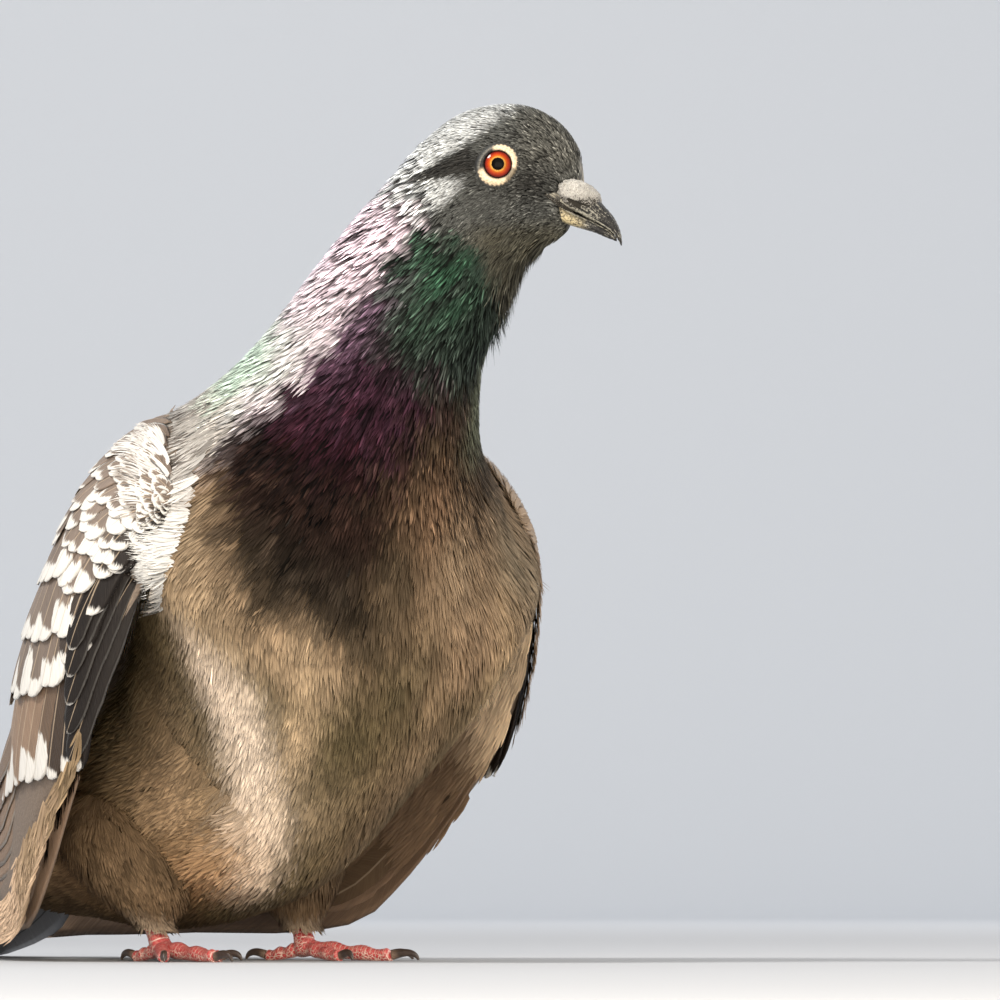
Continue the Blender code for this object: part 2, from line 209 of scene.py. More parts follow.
def mesh_of(name, points, faces, material, floats=None, colours=None, maps=None):
    """A smooth mesh from points (n, 3) in mm, faces (m, 3) and values per point or per corner."""
    mesh = bpy.data.meshes.new(name)
    mesh.vertices.add(len(points))
    mesh.vertices.foreach_set("co", ((points + SHIFT) * MM).astype(np.float32).ravel())
    mesh.loops.add(faces.size)
    mesh.loops.foreach_set("vertex_index", faces.astype(np.int32).ravel())
    mesh.polygons.add(len(faces))
    mesh.polygons.foreach_set("loop_start", np.arange(0, faces.size, 3, dtype=np.int32))
    mesh.polygons.foreach_set("use_smooth", np.ones(len(faces), bool))
    for key, values in (floats or {}).items():
        mesh.attributes.new(key, "FLOAT", "POINT").data.foreach_set(
            "value", values.astype(np.float32).ravel())
    for key, values in (colours or {}).items():
        full = np.ones((len(points), 4), np.float32)
        full[:, :3] = values
        mesh.attributes.new(key, "FLOAT_COLOR", "POINT").data.foreach_set("color", full.ravel())
    for key, values in (maps or {}).items():
        values = values if len(values) == faces.size else values[faces.ravel()]
        mesh.uv_layers.new(name=key).uv.foreach_set("vector", values.astype(np.float32).ravel())
    mesh.update(calc_edges=True)
    mesh.validate()
    mesh.materials.append(material)
    return mesh


def make_piece(name, points, faces, material, slot, replaces=(), lean=None, **values):
    """A finished piece. lean holds a normal for each point, and how far the shading leans to it."""
    mesh = mesh_of(name, points, faces, material, **values)
    if lean is not None:
        own = np.empty(len(points) * 3, np.float32)
        mesh.vertices.foreach_get("normal", own)
        normals, share = lean
        mesh.normals_split_custom_set_from_vertices(
            unit(own.reshape(-1, 3) * (1 - share) + normals * share))
    hand_over(linked(name, mesh), replaces)
    print(name, len(faces), "triangles")

# %% [markdown]
# ## Wires for the materials
# A material in Blender is a graph of nodes, and writing one call for every node hides what the
# pattern is. A small class that stands for a socket and takes part in sums and products lets the
# pattern be written as an expression; each operator adds its Math node.

# %% Wires
class Wire:
    """An output socket in a node tree, with the operators of numbers."""

    def __init__(self, paint, socket):
        self.paint = paint
        self.socket = socket

    def maths(self, operation, first, second=0.5, third=0.5, clamp=False):
        settings = {"operation": operation, "use_clamp": clamp}
        return self.paint.node("ShaderNodeMath", settings, {0: first, 1: second, 2: third})

    def __add__(self, other):
        return self.maths("ADD", self, other)

    def __sub__(self, other):
        return self.maths("SUBTRACT", self, other)

    def __rsub__(self, other):
        return self.maths("SUBTRACT", other, self)

    def __mul__(self, other):
        return self.maths("MULTIPLY", self, other)

    def __truediv__(self, other):
        return self.maths("DIVIDE", self, other)

    __radd__ = __add__
    __rmul__ = __mul__

    def size(self):
        return self.maths("ABSOLUTE", self)

    def clamped(self):
        return self.maths("ADD", self, 0.0, clamp=True)

    def step(self, start, end):
        """0 up to start and 1 from end on, with a smooth step between; start may be a wire."""
        way = self.maths("DIVIDE", self - start, end - start, clamp=True)
        return way * way * (3.0 - 2.0 * way)


print("operators of a wire:", [key for key in vars(Wire) if key.startswith("__r")])

# %% Paint
class Paint:
    """A material under construction: a Principled shader, and one method for every other node."""

    def __init__(self, name, **constants):
        self.material = bpy.data.materials.new(name)
        self.material.use_nodes = True
        self.tree = self.material.node_tree
        self.shader = self.tree.nodes["Principled BSDF"]
        for key, value in constants.items():
            self.shader.inputs[key.replace("_", " ")].default_value = value

    def node(self, kind, settings=None, inputs=None, out=0):
        """Adds a node: its settings first, then the values or wires of its sockets."""
        made = self.tree.nodes.new(kind)
        for key, value in (settings or {}).items():
            if key == "stops":
                self.set_stops(made.color_ramp, value)
            else:
                setattr(made, key, value)
        for key, value in (inputs or {}).items():
            if isinstance(value, Wire):
                self.tree.links.new(value.socket, made.inputs[key])
            else:
                made.inputs[key].default_value = value
        return Wire(self, made.outputs[out])

    @staticmethod
    def set_stops(ramp, stops):
        while len(ramp.elements) < len(stops):
            ramp.elements.new(0.5)
        for element, (place, colour) in zip(ramp.elements, stops):
            element.position = place
            element.color = (*colour, 1.0)

    def value(self, name):
        """A number stored on the mesh's points."""
        return self.node("ShaderNodeAttribute", {"attribute_name": name}, out=2)

    def colour(self, name):
        """A colour stored on the mesh's points."""
        return self.node("ShaderNodeAttribute", {"attribute_name": name}, out=0)

    def place(self, scale=(1.0, 1.0, 1.0)):
        """Object coordinates, multiplied by scale."""
        where = self.node("ShaderNodeTexCoord", out=3)
        return self.node("ShaderNodeMapping", {}, {"Vector": where, "Scale": scale})

    def across_and_along(self, name):
        """The two numbers of one of the mesh's own UV maps."""
        split = self.node("ShaderNodeSeparateXYZ", {},
                          {0: self.node("ShaderNodeUVMap", {"uv_map": name})})
        return split, Wire(self, split.socket.node.outputs[1])

    def joined(self, x, y, z=0.0):
        return self.node("ShaderNodeCombineXYZ", {}, {0: x, 1: y, 2: z})

    def noise(self, scale, where=None, detail=2.0, roughness=0.5):
        return self.node("ShaderNodeTexNoise", {}, {
            "Scale": scale, "Detail": detail, "Roughness": roughness, "Vector": where or self.place()})

    def mix(self, share, first, second):
        """Colour first where share is 0 and second where it is 1."""
        first, second = (c if isinstance(c, Wire) else (*c, 1.0) for c in (first, second))
        return self.node("ShaderNodeMix", {"data_type": "RGBA", "clamp_factor": True},
                         {0: share, 6: first, 7: second}, out=2)

    def scaled(self, colour, by):
        """A colour made lighter or darker by a number."""
        return self.node("ShaderNodeVectorMath", {"operation": "SCALE"}, {0: colour, 3: by})

    def wear(self, **sockets):
        """Links wires to the shader's sockets."""
        for key, wire in sockets.items():
            self.tree.links.new(wire.socket, self.shader.inputs[key.replace("_", " ")])

    def bumps(self, height, distance, strength=1.0):
        self.wear(Normal=self.node("ShaderNodeBump", {}, {
            "Strength": strength, "Distance": distance, "Height": height}))

# %% [markdown]
# ## Camera
# The bird is looked at from its right front, a little from below the level of its breast, with a long
# lens. A long lens keeps the proportions of a small animal true; a short one would swell the breast.

# %% Camera
VIEW_TURN = math.radians(36)
VIEW_DISTANCE = 2.0                  # metres
VIEW_CENTRE = (67.25, 114.14)        # mm aside of the origin in the picture's plane, and up
CAMERA_HEIGHT = 20.0                 # mm
SENSOR, PICTURE_WIDTH = 36.0, 248.1  # mm; the width is what the picture spans at the bird


def make_camera():
    across = np.array([math.cos(VIEW_TURN), -math.sin(VIEW_TURN), 0.0])
    towards = np.array([-math.sin(VIEW_TURN), -math.cos(VIEW_TURN), 0.0])
    sink = math.asin((CAMERA_HEIGHT - VIEW_CENTRE[1]) * MM / VIEW_DISTANCE)
    back = towards * math.cos(sink) + UP * math.sin(sink)
    target = (across * VIEW_CENTRE[0] + UP * VIEW_CENTRE[1] + SHIFT) * MM
    data = bpy.data.cameras.new("camera")
    data.sensor_width = SENSOR
    data.lens = SENSOR * VIEW_DISTANCE / (PICTURE_WIDTH * MM)
    camera = linked("camera", data)
    camera.location = Vector(target + back * VIEW_DISTANCE)
    camera.rotation_mode = "QUATERNION"
    camera.rotation_quaternion = Vector(-back).to_track_quat("-Z", "Y")
    bpy.context.scene.camera = camera


make_camera()
print("the camera stands", VIEW_DISTANCE, "m away and its picture is", PICTURE_WIDTH, "mm wide there")

# %% [markdown]
# ## Colours of the plumage
# A rock pigeon is slate on the face, silvery on the crown, glossy green and purple on the neck and
# tan to olive below. The gloss is painted as colour fields over the body and not left to a shader
# that follows the eye, so the bird keeps its pattern from every side. Each field is a soft-edged
# region in spine place and angle, laid over the ones before it.

# %% Palette
SLATE = (0.072, 0.074, 0.069)
DEEP_SLATE = (0.022, 0.021, 0.019)
FOREHEAD = (0.100, 0.099, 0.088)
SILVER = (0.46, 0.475, 0.475)
CHIN = (0.064, 0.060, 0.044)
LIT_LILAC_SHEEN = (0.66, 0.53, 0.60)
EMERALD = (0.022, 0.057, 0.034)
DEEP_GREEN = (0.023, 0.031, 0.026)
PLUM = (0.125, 0.075, 0.115)
PURPLE = (0.030, 0.0110, 0.0200)
WINE = (0.0118, 0.0020, 0.0034)
MAROON = (0.0040, 0.0011, 0.0009)
MINT = (0.44, 0.55, 0.46)
NAPE_HIGHLIGHT = (0.50, 0.49, 0.48)
PALE_GREY = (0.44, 0.41, 0.37)
SHADED_SIDE_BROWN = (0.037, 0.0255, 0.016)
GREY_GREEN_SHEEN = (0.105, 0.115, 0.076)
RED_BLACK = np.array((0.0125, 0.0066, 0.0050))
OLIVE_BLACK = np.array((0.0140, 0.0105, 0.0076))
BREAST_BROWN = (0.25, 0.168, 0.102)
FLANK_OLIVE = (0.21, 0.155, 0.10)
TAN = (0.36, 0.262, 0.165)
OLIVE = (0.088, 0.070, 0.034)
HAZE_LIGHT = (0.95, 0.77, 0.60)
EARTH = (0.130, 0.085, 0.045)
RUST = (0.54, 0.335, 0.180)
MANTLE = (0.30, 0.27, 0.24)
# Soft oval spots, laid on in turn: colour, share, then spine place, angle and the reach in both.
UPPER_BREAST_SPOTS = (
    ((0.130, 0.078, 0.044), 0.85, (11.45, 176, 0.7, 24)),
    ((0.360, 0.275, 0.180), 0.50, (11.8, 166, 0.6, 13)),
    ((0.200, 0.175, 0.125), 0.60, (12.1, 128, 0.7, 17)),
)
BELLY_SPOTS = (
    (TAN, 0.5, (14.9, 197, 0.6, 12)),
    (TAN, 0.9, (13.1, 213, 0.4, 14)),
    (TAN, 0.8, (13.3, 243, 0.7, 14)),
    (TAN, 0.6, (15.6, 252, 1.3, 16)),
)
BREAST_SHADES = (
    (BREAST_BROWN, 0.7, (14.4, 168, 2.4, 20)),
    (OLIVE, 0.6, (13.1, 186, 0.5, 12)),
    ((0.070, 0.052, 0.032), 0.85, (12.0, 191, 0.65, 9)),
    ((0.095, 0.074, 0.042), 0.60, (12.8, 178, 0.60, 9)),
    ((0.170, 0.100, 0.060), 0.50, (10.9, 180, 0.60, 11)),
    ((0.620, 0.450, 0.280), 0.80, (14.0, 211, 0.75, 6)),
    ((0.480, 0.335, 0.190), 0.65, (13.2, 142, 0.95, 9)),
)
LOW_SPOTS = (
    (EARTH, 0.45, (16.0, 255, 1.0, 10)),
    ((0.62, 0.42, 0.25), 0.7, (16.0, 239, 0.7, 11)),
    (RUST, 0.9, (16.4, 216, 0.8, 15)),
    (RUST, 0.9, (18.6, 246, 1.3, 26)),
    (RUST, 0.9, (18.6, 112, 1.4, 30)),
)
print("spots of colour:", sum(map(len, (UPPER_BREAST_SPOTS, BELLY_SPOTS, BREAST_SHADES, LOW_SPOTS))))

# %% Colour fields
def turned(degrees, centre):
    """How far an angle lies from a centre, from -180 to 180 degrees."""
    return (degrees - centre + 180) % 360 - 180


def laid_over(colour, other, share):
    """colour + (other - colour) share, with the share kept from 0 to 1."""
    return np.asarray(colour) + np.subtract(other, colour) * np.clip(share, 0, 1)[..., None]


def mottle(points, size, seed):
    """Smooth patches of about this size in mm, from -1 to 1: a sum of sines in random directions."""
    rng = np.random.default_rng(seed)
    waves = unit(rng.normal(size=(7, 3))) * rng.uniform(0.6, 1.6, (7, 1)) * TURN / size
    return np.sin(points @ waves.T + rng.uniform(0, 6.28, 7)).sum(-1) / 3.2


def speckled(colour, points, by, size, seed):
    """A colour made lighter and darker in patches: colour (1 + by mottle)."""
    return colour * (1 + by * mottle(points, size, seed))[..., None]


class Coat:
    """Colours of feathers at spine places t, angles in degrees and points, built up in layers."""

    def __init__(self, t, degrees, points, base):
        self.t = t
        self.degrees = degrees
        self.points = points
        self.leftward = turned(degrees, 180)      # below 0 on the bird's left
        self.front = np.abs(self.leftward)
        self.colour = np.zeros(points.shape) + base

    def rough(self, by, size, seed):
        """Patches that make an edge wander by this much."""
        return by * mottle(self.points, size, seed)

    def lay(self, shade, share):
        self.colour = laid_over(self.colour, shade, share)

    def spots(self, table):
        """Soft ovals: a bell along the spine times a bell round it."""
        for shade, share, (t, centre, t_reach, reach) in table:
            aside = bell(turned(self.degrees, centre), 0, reach)
            self.lay(shade, share * bell(self.t, t, t_reach) * aside)

# %% [markdown]
# ### Head
# The silver crown ends at a line from its top to the eye's upper rim, and behind the eye at the top
# of a dark wedge. Under the wedge a pale ear patch widens towards the neck.

# %% Head colours
def head_colour(points):
    """Colours of head feathers by their place along and above the head."""
    off = points - SPINE[0, :3]
    ahead, above = off @ FORWARD, off[..., 2]
    behind = -23.5 - ahead + 0.6 * mottle(points, 4, 12)
    colour = laid_over(np.zeros(points.shape) + SLATE, FOREHEAD,
                       soft(above, 4, 12) * soft(ahead, -16, -6))
    front_edge = -11.0 - (25.3 - above)
    lower_edge = np.where(behind < 13, 15.2 - 0.48 * behind, -6.0)
    crown = soft(front_edge - ahead + 1.2 * mottle(points, 4, 28), -2.5, 6.0)
    colour = laid_over(colour, SILVER, crown * soft(above - lower_edge, -0.8, 1.0))
    half = 3.6 * np.clip(1 - behind / 14, 0, 1)
    wedge = soft(half - np.abs(above - 11.4 + 0.25 * behind), -0.6, 0.8) * soft(behind, -3, 0)
    colour = laid_over(colour, DEEP_SLATE, wedge * 0.95)
    low_rim = 5.0 - 0.72 * behind
    ear = soft(7.6 - above, -0.5, 0.8) * soft(above - low_rim, -1.5, 1.0) * soft(behind, -1, 3)
    colour = laid_over(colour, SILVER, ear * 0.9)
    around_eye = bell(ahead, EYE_PLACE[0], 50 ** 0.5) * bell(above, EYE_PLACE[1], 50 ** 0.5)
    colour = laid_over(colour, DEEP_SLATE, around_eye * 0.6)
    lores = bell(ahead, -8.0, 5.0) * bell(above, 5.0, 4.0)
    colour = laid_over(colour, DEEP_SLATE, lores * 0.85)
    return laid_over(colour, CHIN, soft(-above, 2.0, 7.0) * soft(ahead, -28, -17) * 0.9)

# %% [markdown]
# ### Neck
# Green over purple over wine and maroon down the front, lilac turning to mint and grey on the nape. The
# nape's lilac sheen and white carry a painted highlight of light from behind, a painted grey-green sheen
# runs along the throat's left edge, and the side away from the light is brown with painted shade.

# %% Neck colours
def paint_neck(coat):
    t, front, leftward, rough = coat.t, coat.front, coat.leftward, coat.rough
    nape_edge = 85 + 9 * (1 - soft(t, 7.6, 9.4))
    nape = soft(front + rough(5, 9, 2) - nape_edge, -3, 12)
    coat.lay(EMERALD, bell(t, 6.7, 1.5) * bell(front, 66, 32) * (0.75 + rough(0.5, 10, 14)))
    down_neck = t + 0.010 * (front - 50) + rough(0.30, 8, 3)
    coat.lay(PURPLE, soft(down_neck, 8.4, 9.5))
    coat.lay(WINE, soft(down_neck, 9.6, 10.9) * (0.8 + rough(0.2, 9, 15)))
    coat.lay(MAROON, soft(down_neck, 10.7, 11.5))
    # Painted sheen: below the green the neck is made lighter and darker in patches, as glints of its
    # gloss.
    coat.colour = coat.colour * (1 + rough(0.4, 7, 35) * soft(t, 8.0, 9.0))[..., None]
    coat.lay(PLUM, 0.7 * bell(t + rough(0.3, 5, 36), 8.8, 1.0) * bell(front, 84, 14))
    # Painted shade: dark brown over the bird's left side of the lower neck, away from the light.
    coat.lay(SHADED_SIDE_BROWN, soft(rough(9, 9, 29) - leftward, -44, -4) * soft(t, 8.4, 10.2))
    # Painted sheen: a pale grey-green band along the throat's edge on the bird's left.
    throat_edge_sheen = soft(-leftward, 4, 30) * soft(t, 6.8, 8.5)
    coat.lay(GREY_GREEN_SHEEN, throat_edge_sheen * (1 - soft(t, 9.8, 10.8)) * 0.85)
    left_breast = soft(rough(9, 9, 31) - leftward, -26, 6)
    coat.lay(BREAST_BROWN, 0.75 * left_breast * soft(t + rough(0.3, 6, 32), 10.7, 11.9))
    # Painted highlight: the nape's lilac sheen is laid on bright, as if lit from behind, with white over
    # it lower down.
    coat.lay(LIT_LILAC_SHEEN, nape)
    side_of_nape = nape * soft(t + rough(0.3, 7, 37), 8.2, 9.8)
    coat.lay(NAPE_HIGHLIGHT, side_of_nape * 0.75)
    green_tint = side_of_nape * soft(front + rough(6, 8, 38), 92, 116)
    coat.lay(MINT, green_tint * soft(t + rough(0.2, 7, 17), 9.3, 10.3))
    coat.lay(PALE_GREY, nape * soft(t + rough(0.3, 6, 18), 10.6, 11.5))

# %% [markdown]
# ### Breast, belly and back
# Brown breast with a dark patch on the right, olive belly crossed by a painted band of pale hazy light,
# rust and earth colours low down, and a grey mantle. Painted patches of light and shade, broad and fine,
# lie over breast and belly.

# %% Breast and belly colours
def paint_breast(coat):
    t, front, leftward, rough = coat.t, coat.front, coat.leftward, coat.rough
    breast = soft(t + rough(0.2, 9, 16), 11.4, 12.1) * (1 - soft(front, 100, 115))
    coat.lay(BREAST_BROWN, breast)
    border = 82 - 25 * (t - 11.6) + rough(4, 9, 19)
    flank = soft(front - border, -10, 10) * soft(t, 11.5, 12.3)
    coat.lay(FLANK_OLIVE, flank * breast)
    coat.spots(UPPER_BREAST_SPOTS)
    coat.lay(OLIVE, soft(t + rough(0.15, 12, 5), 12.9, 13.5) * (1 - soft(front, 100, 120)))
    patch = soft(border - leftward + rough(5, 6, 33), -14, 12)
    patch = patch * soft(leftward + rough(8, 10, 24), -6, 26) * soft(t, 10.7, 11.5)
    lower_edge = t + rough(0.3, 8, 25) - 0.006 * leftward - 0.35 * bell(leftward, 6, 18)
    dark = RED_BLACK + (OLIVE_BLACK - RED_BLACK) * soft(t, 11.4, 12.3)[..., None]
    coat.lay(dark * (1.15 + rough(0.75, 6, 34))[..., None], patch * (1 - soft(lower_edge, 12.2, 13.5)))
    coat.spots(BELLY_SPOTS)


def paint_belly_and_back(coat):
    t, front, rough = coat.t, coat.front, coat.rough
    # Painted light: a pale band of hazy light slanting across the belly.
    light_haze = np.exp(-np.abs(turned(coat.degrees, 231 - 13 * (t - 14.1)) / 12.5) ** 2.6)
    light_haze = light_haze * soft(t, 13.0, 14.0) * (1 - soft(t, 15.8, 17.0))
    coat.lay(HAZE_LIGHT, light_haze * (0.95 + rough(0.08, 12, 26)))
    coat.spots(BREAST_SHADES)
    coat.lay(EARTH, 0.9 * soft(t + rough(0.3, 12, 6), 16.6, 17.6) * (1 - soft(front, 100, 120)))
    coat.spots(LOW_SPOTS)
    # Painted light and shade: breast and belly made lighter and darker in soft patches, less inside the
    # band of light.
    dappled_light_and_shade = rough(1, 11, 21) + rough(0.7, 5, 27) + rough(0.4, 2.6, 30)
    dappled_light_and_shade = dappled_light_and_shade * soft(t, 11.4, 12.4) * 0.17 * (1 - 0.7 * np.clip(light_haze, 0, 1))
    coat.colour = coat.colour * (1 + dappled_light_and_shade)[..., None]
    back = soft(front, 98, 112) * soft(t, 12.0, 13.2)
    coat.lay(MANTLE, back)
    coat.lay(PALE_GREY, back * soft(t, 16.5, 18))


def plumage(t, theta, points):
    """The colour of a feather rooted at this place, spine place and angle."""
    coat = Coat(t, np.degrees(theta) % 360, points, DEEP_GREEN)
    for paint in (paint_neck, paint_breast, paint_belly_and_back):
        paint(coat)
    front = coat.front
    start = 4.9 + 1.2 * soft(front, 50, 95) + 0.6 * soft(front, 100, 150) + 0.7 * (
        1 - soft(front, 5, 32)) + 0.25 * mottle(points, 4, 22)
    colour = laid_over(head_colour(points), coat.colour, soft(t - start, 0.0, 0.7))
    return colour * (1 + 0.10 * mottle(points, 5.0, 8) + 0.06 * mottle(points, 2.2, 9))[..., None]

# %% [markdown]
# ## One skin under the coat
# Under its feathers a bird is one closed skin: head, neck, trunk, the arms of the wings and the
# thighs. Separate shells would show seams where feathers part, so the shells are joined by Boolean
# unions into one. It follows the solids from inside, at the depth of the coat. Only round the eye is
# it bare: there the grid is fine enough to raise the fleshy ring that serves the pigeon as lids.

# %% Table of the wing and measures of the legs
# The left wing from front to tip, in mm: lower edge x, y, z, upper edge x, y, z, how far the outside
# bulges past the line between them, and the shell's thickness.
WING = np.array([
    (54.5, -55.0, 100.0, 48.0, -49.0, 118.0, 1.0, 4.0),
    (58.5, -49.0, 86.0, 38.0, -34.0, 131.5, 10.0, 10.0),
    (61.5, -40.0, 66.0, 28.0, -15.0, 131.5, 18.0, 13.0),
    (61.5, -28.0, 46.0, 20.0, 1.0, 117.0, 22.0, 14.0),
    (59.0, -13.0, 31.0, 14.0, 15.0, 99.0, 23.0, 14.0),
    (55.0, 2.0, 18.0, 12.0, 29.0, 83.0, 19.5, 12.0),
    (49.5, 17.5, 7.5, 11.0, 44.0, 66.0, 16.0, 9.0),
    (41.0, 49.0, 4.5, 11.0, 64.0, 47.0, 12.0, 6.0),
    (31.5, 84.0, 4.5, 11.0, 90.0, 31.0, 7.5, 3.5),
    (24.0, 115.0, 5.5, 11.0, 119.0, 18.0, 4.0, 2.0),
    (18.5, 146.0, 7.0, 12.5, 148.0, 10.0, 0.8, 1.2),
], float)
# Feet and thighs, in mm
FOOT_X, FOOT_Y, FOOT_Z = 21.5, -2.5, 3.2
LEG_LEAN = np.array([1.0, 6.0, 12.0]) / 12.0
LEG_TOP = 9.5
THIGH_HEIGHTS, THIGH_RADII = (0.0, 5.0, 12.0, 20.0, 27.0, 33.0), (5.5, 9.0, 13.5, 16.5, 14.5, 7.0)


print("the wing is measured at", len(WING), "places, the thigh at", len(THIGH_HEIGHTS))

# %% Wing and thigh shapes
def wing(s, share, sign, lift=0.0, inside=False):
    """Points on the shell of a folded wing: s from front to tip, share from lower to upper edge.

    P = low + chord share + out (bulge swell + edge + lift), with swell = sin(pi share)^0.8 and out
    square to the chord and to the bird's length; inside, the bulge is less by 0.8 of the thickness.
    """
    s, share, lift = np.broadcast_arrays(np.asarray(s, float), share, lift)
    row = read_table(WING, s)
    low, chord = row[..., :3], row[..., 3:6] - row[..., :3]
    length = (chord ** 2).sum(-1, keepdims=True)
    out = unit(np.array([1.0, 0.0, 0.0]) - chord * (chord[..., :1] / length))
    swell = np.sin(math.pi * np.clip(share, 0, 1)) ** 0.8
    edge = 0.3 + 0.1 * row[..., 7]
    if inside:
        height = (row[..., 6] - 0.8 * row[..., 7]) * swell - edge - lift
    else:
        height = row[..., 6] * swell + edge + lift
    point = low + chord * share[..., None] + out * height[..., None]
    return point * np.array([sign, 1.0, 1.0])


def thigh(height, angle, sign, grow=0.0):
    """Points round a thigh: height in mm above the bare leg, angle from the outside, forwards."""
    height, angle, grow = np.broadcast_arrays(np.asarray(height, float), angle, grow)
    radius = np.interp(height, THIGH_HEIGHTS, THIGH_RADII) + grow
    rise = (LEG_TOP + height - FOOT_Z)[..., None]
    joint = np.array([FOOT_X, FOOT_Y, FOOT_Z])
    around = np.stack([np.cos(angle), -np.sin(angle), np.zeros_like(angle)], -1)
    return (joint + LEG_LEAN * rise + around * radius[..., None]) * np.array([sign, 1.0, 1.0])

# %% Bare face and depth of the coat
EYE_RING = 4.82           # mm from the eye's axis to the outside of its bare ring
IRIS = 3.3                # and to the edge of the part of the eyeball that shows
# Where the feathers end at the root of the bill: above and ahead of the spine's first place, in mm.
FACE_EDGE = np.array([
    (-6.0, 1.5), (-4.9, 0.3), (-3.3, -1.9), (-2.0, -2.6), (-0.6, -3.3), (1.0, -4.4), (2.2, -5.6),
    (2.8, -6.3), (3.3, -3.4), (4.4, -2.6), (6.0, -0.8), (7.0, 1.5),
])


def bare_face(points):
    """How far a place lies ahead of the line where the feathers end, in mm."""
    off = points - SPINE[0, :3]
    return off @ FORWARD - np.interp(off[..., 2], FACE_EDGE[:, 0], FACE_EDGE[:, 1])


def coat_depth(t):
    """How far the skin lies under the tips of the coat, in mm."""
    return np.interp(t, [0, 1, 5, 8, 12, 19, 21], [0.3, 0.6, 0.8, 1.7, 2.8, 2.8, 1.4])


print("the coat is", coat_depth([0, 5, 12]), "mm deep on face, neck and breast")

# %% Eye rings
def packed(low, high, count, peaks, reach, strength):
    """Numbers from low to high that lie closer together near the peaks."""
    fine = np.linspace(low, high, 4000)
    density = 1.0 + strength * sum(np.exp(-((fine - p) / reach) ** 4) for p in peaks)
    total = np.concatenate([[0], np.cumsum((density[1:] + density[:-1]) / 2)])
    return np.interp(np.linspace(0, total[-1], count), total, fine)


def eye_polar(points, sign):
    """Distance from the eye's axis, height along it and angle round it, from ahead upwards."""
    off = points - EYE_CENTRE[sign]
    axis = EYE_AXIS[sign]
    high = off @ axis
    ahead = unit(FORWARD - axis * (FORWARD @ axis))
    above = unit(UP - axis * (UP @ axis))
    x, y = off @ ahead, off @ above
    return np.hypot(x, y), high, np.arctan2(y, x)


def ring_reach(angle):
    """Outer radius of the bare ring, wider up ahead and down behind."""
    return EYE_RING + 0.32 * np.cos(2 * (angle - math.radians(52))) + 0.18 * np.cos(
        angle - math.radians(250))


def find_eye():
    """The spine place and the angle at which the body passes outside the left eye's centre."""
    t, theta = np.meshgrid(np.linspace(2, 6, 200), np.linspace(0.3, 2.4, 200), indexing="ij")
    gap = np.linalg.norm(body(t, theta) - EYE_CENTRE[LEFT] - EYE_AXIS[LEFT] * EYE_RADIUS, axis=-1)
    best = gap.argmin()
    return t.ravel()[best], theta.ravel()[best]


EYE_T, EYE_THETA = find_eye()
print("the eyes lie at spine place", round(EYE_T, 2), "and", round(math.degrees(EYE_THETA)), "degrees")


def raise_lids(points):
    """Moves skin points along each eye's axis: a pit behind the eyeball and a fleshy ring round it."""
    moved = points.copy()
    for sign in (LEFT, RIGHT):
        reach, high, angle = eye_polar(moved, sign)
        outer = ring_reach(angle)
        ball = np.sqrt(np.clip(EYE_RADIUS ** 2 - reach ** 2, 0, None))
        rim = math.sqrt(EYE_RADIUS ** 2 - IRIS ** 2) + 0.26
        way = np.clip((reach - IRIS - 0.15) / (outer - IRIS - 0.15), 0, 1)
        beads = 0.05 * np.sin(angle * 34 + 3 * way) + 0.04 * np.sin(angle * 21 + 9 * way)
        ring = rim + 0.42 * np.sin(math.pi * way) ** 0.7 - 0.55 * way + beads * np.sin(math.pi * way)
        wanted = np.where(reach < IRIS + 0.02, ball - 0.8, ring)
        share = (1 - soft(reach, outer + 0.05, outer + 1.1)) * (high > 0)
        moved += EYE_AXIS[sign] * ((wanted - high) * share)[..., None]
    return moved

# %% Closed grids
def closed_grid(rings, columns):
    """Triangles over a grid of rings whose ends meet, with its two ends closed by fans."""
    a = (np.arange(rings - 1)[:, None] * columns + np.arange(columns)[None]).ravel()
    b = (np.arange(rings - 1)[:, None] * columns + (np.arange(columns)[None] + 1) % columns).ravel()
    sides = np.concatenate([np.stack([a, b + columns, b], -1),
                            np.stack([a, a + columns, b + columns], -1)])
    first, last = rings * columns, rings * columns + 1
    k = np.arange(columns)
    near = np.stack([np.full(columns, first), k, (k + 1) % columns], -1)
    end = (rings - 1) * columns
    far = np.stack([np.full(columns, last), end + (k + 1) % columns, end + k], -1)
    return np.concatenate([sides, near, far])


def with_ends(points):
    """A (rings, columns, 3) grid as a list, with the middles of its first and last rings added."""
    return np.concatenate([points.reshape(-1, 3), points[0].mean(0)[None], points[-1].mean(0)[None]])


def closed(grid):
    """A grid of rings as points and faces: the faces are turned round if their volume is below 0."""
    points = with_ends(grid)
    faces = closed_grid(*grid.shape[:2])
    a, b, c = (points[faces[:, k]] - points.mean(0) for k in range(3))
    return points, faces if (np.cross(a, b) * c).sum() > 0 else faces[:, ::-1]


def gathered(parts):
    """Several (points, faces) as one, with their faces numbered on."""
    starts = np.cumsum([0] + [len(points) for points, _ in parts[:-1]])
    return (np.concatenate([points for points, _ in parts]),
            np.concatenate([faces + start for (_, faces), start in zip(parts, starts)]))


print("triangles of a closed grid of 3 rings of 4:", len(closed_grid(3, 4)))

# %% Map of the skin and a shell
SKIN_MAP = {"body": (0.0, 0.0, 1.0, 0.62), "wing_left": (0.0, 0.64, 0.44, 0.34),
            "wing_right": (0.46, 0.64, 0.44, 0.34), "thigh_left": (0.91, 0.64, 0.08, 0.16),
            "thigh_right": (0.91, 0.81, 0.08, 0.16)}


def on_skin_map(part, along, around):
    """Place on the skin's unwrap of a part's own two numbers, both from 0 to 1."""
    x, y, width, height = SKIN_MAP[part]
    return np.stack([x + width * np.clip(along, 0, 1), y + height * (np.asarray(around) % 1.0)], -1)


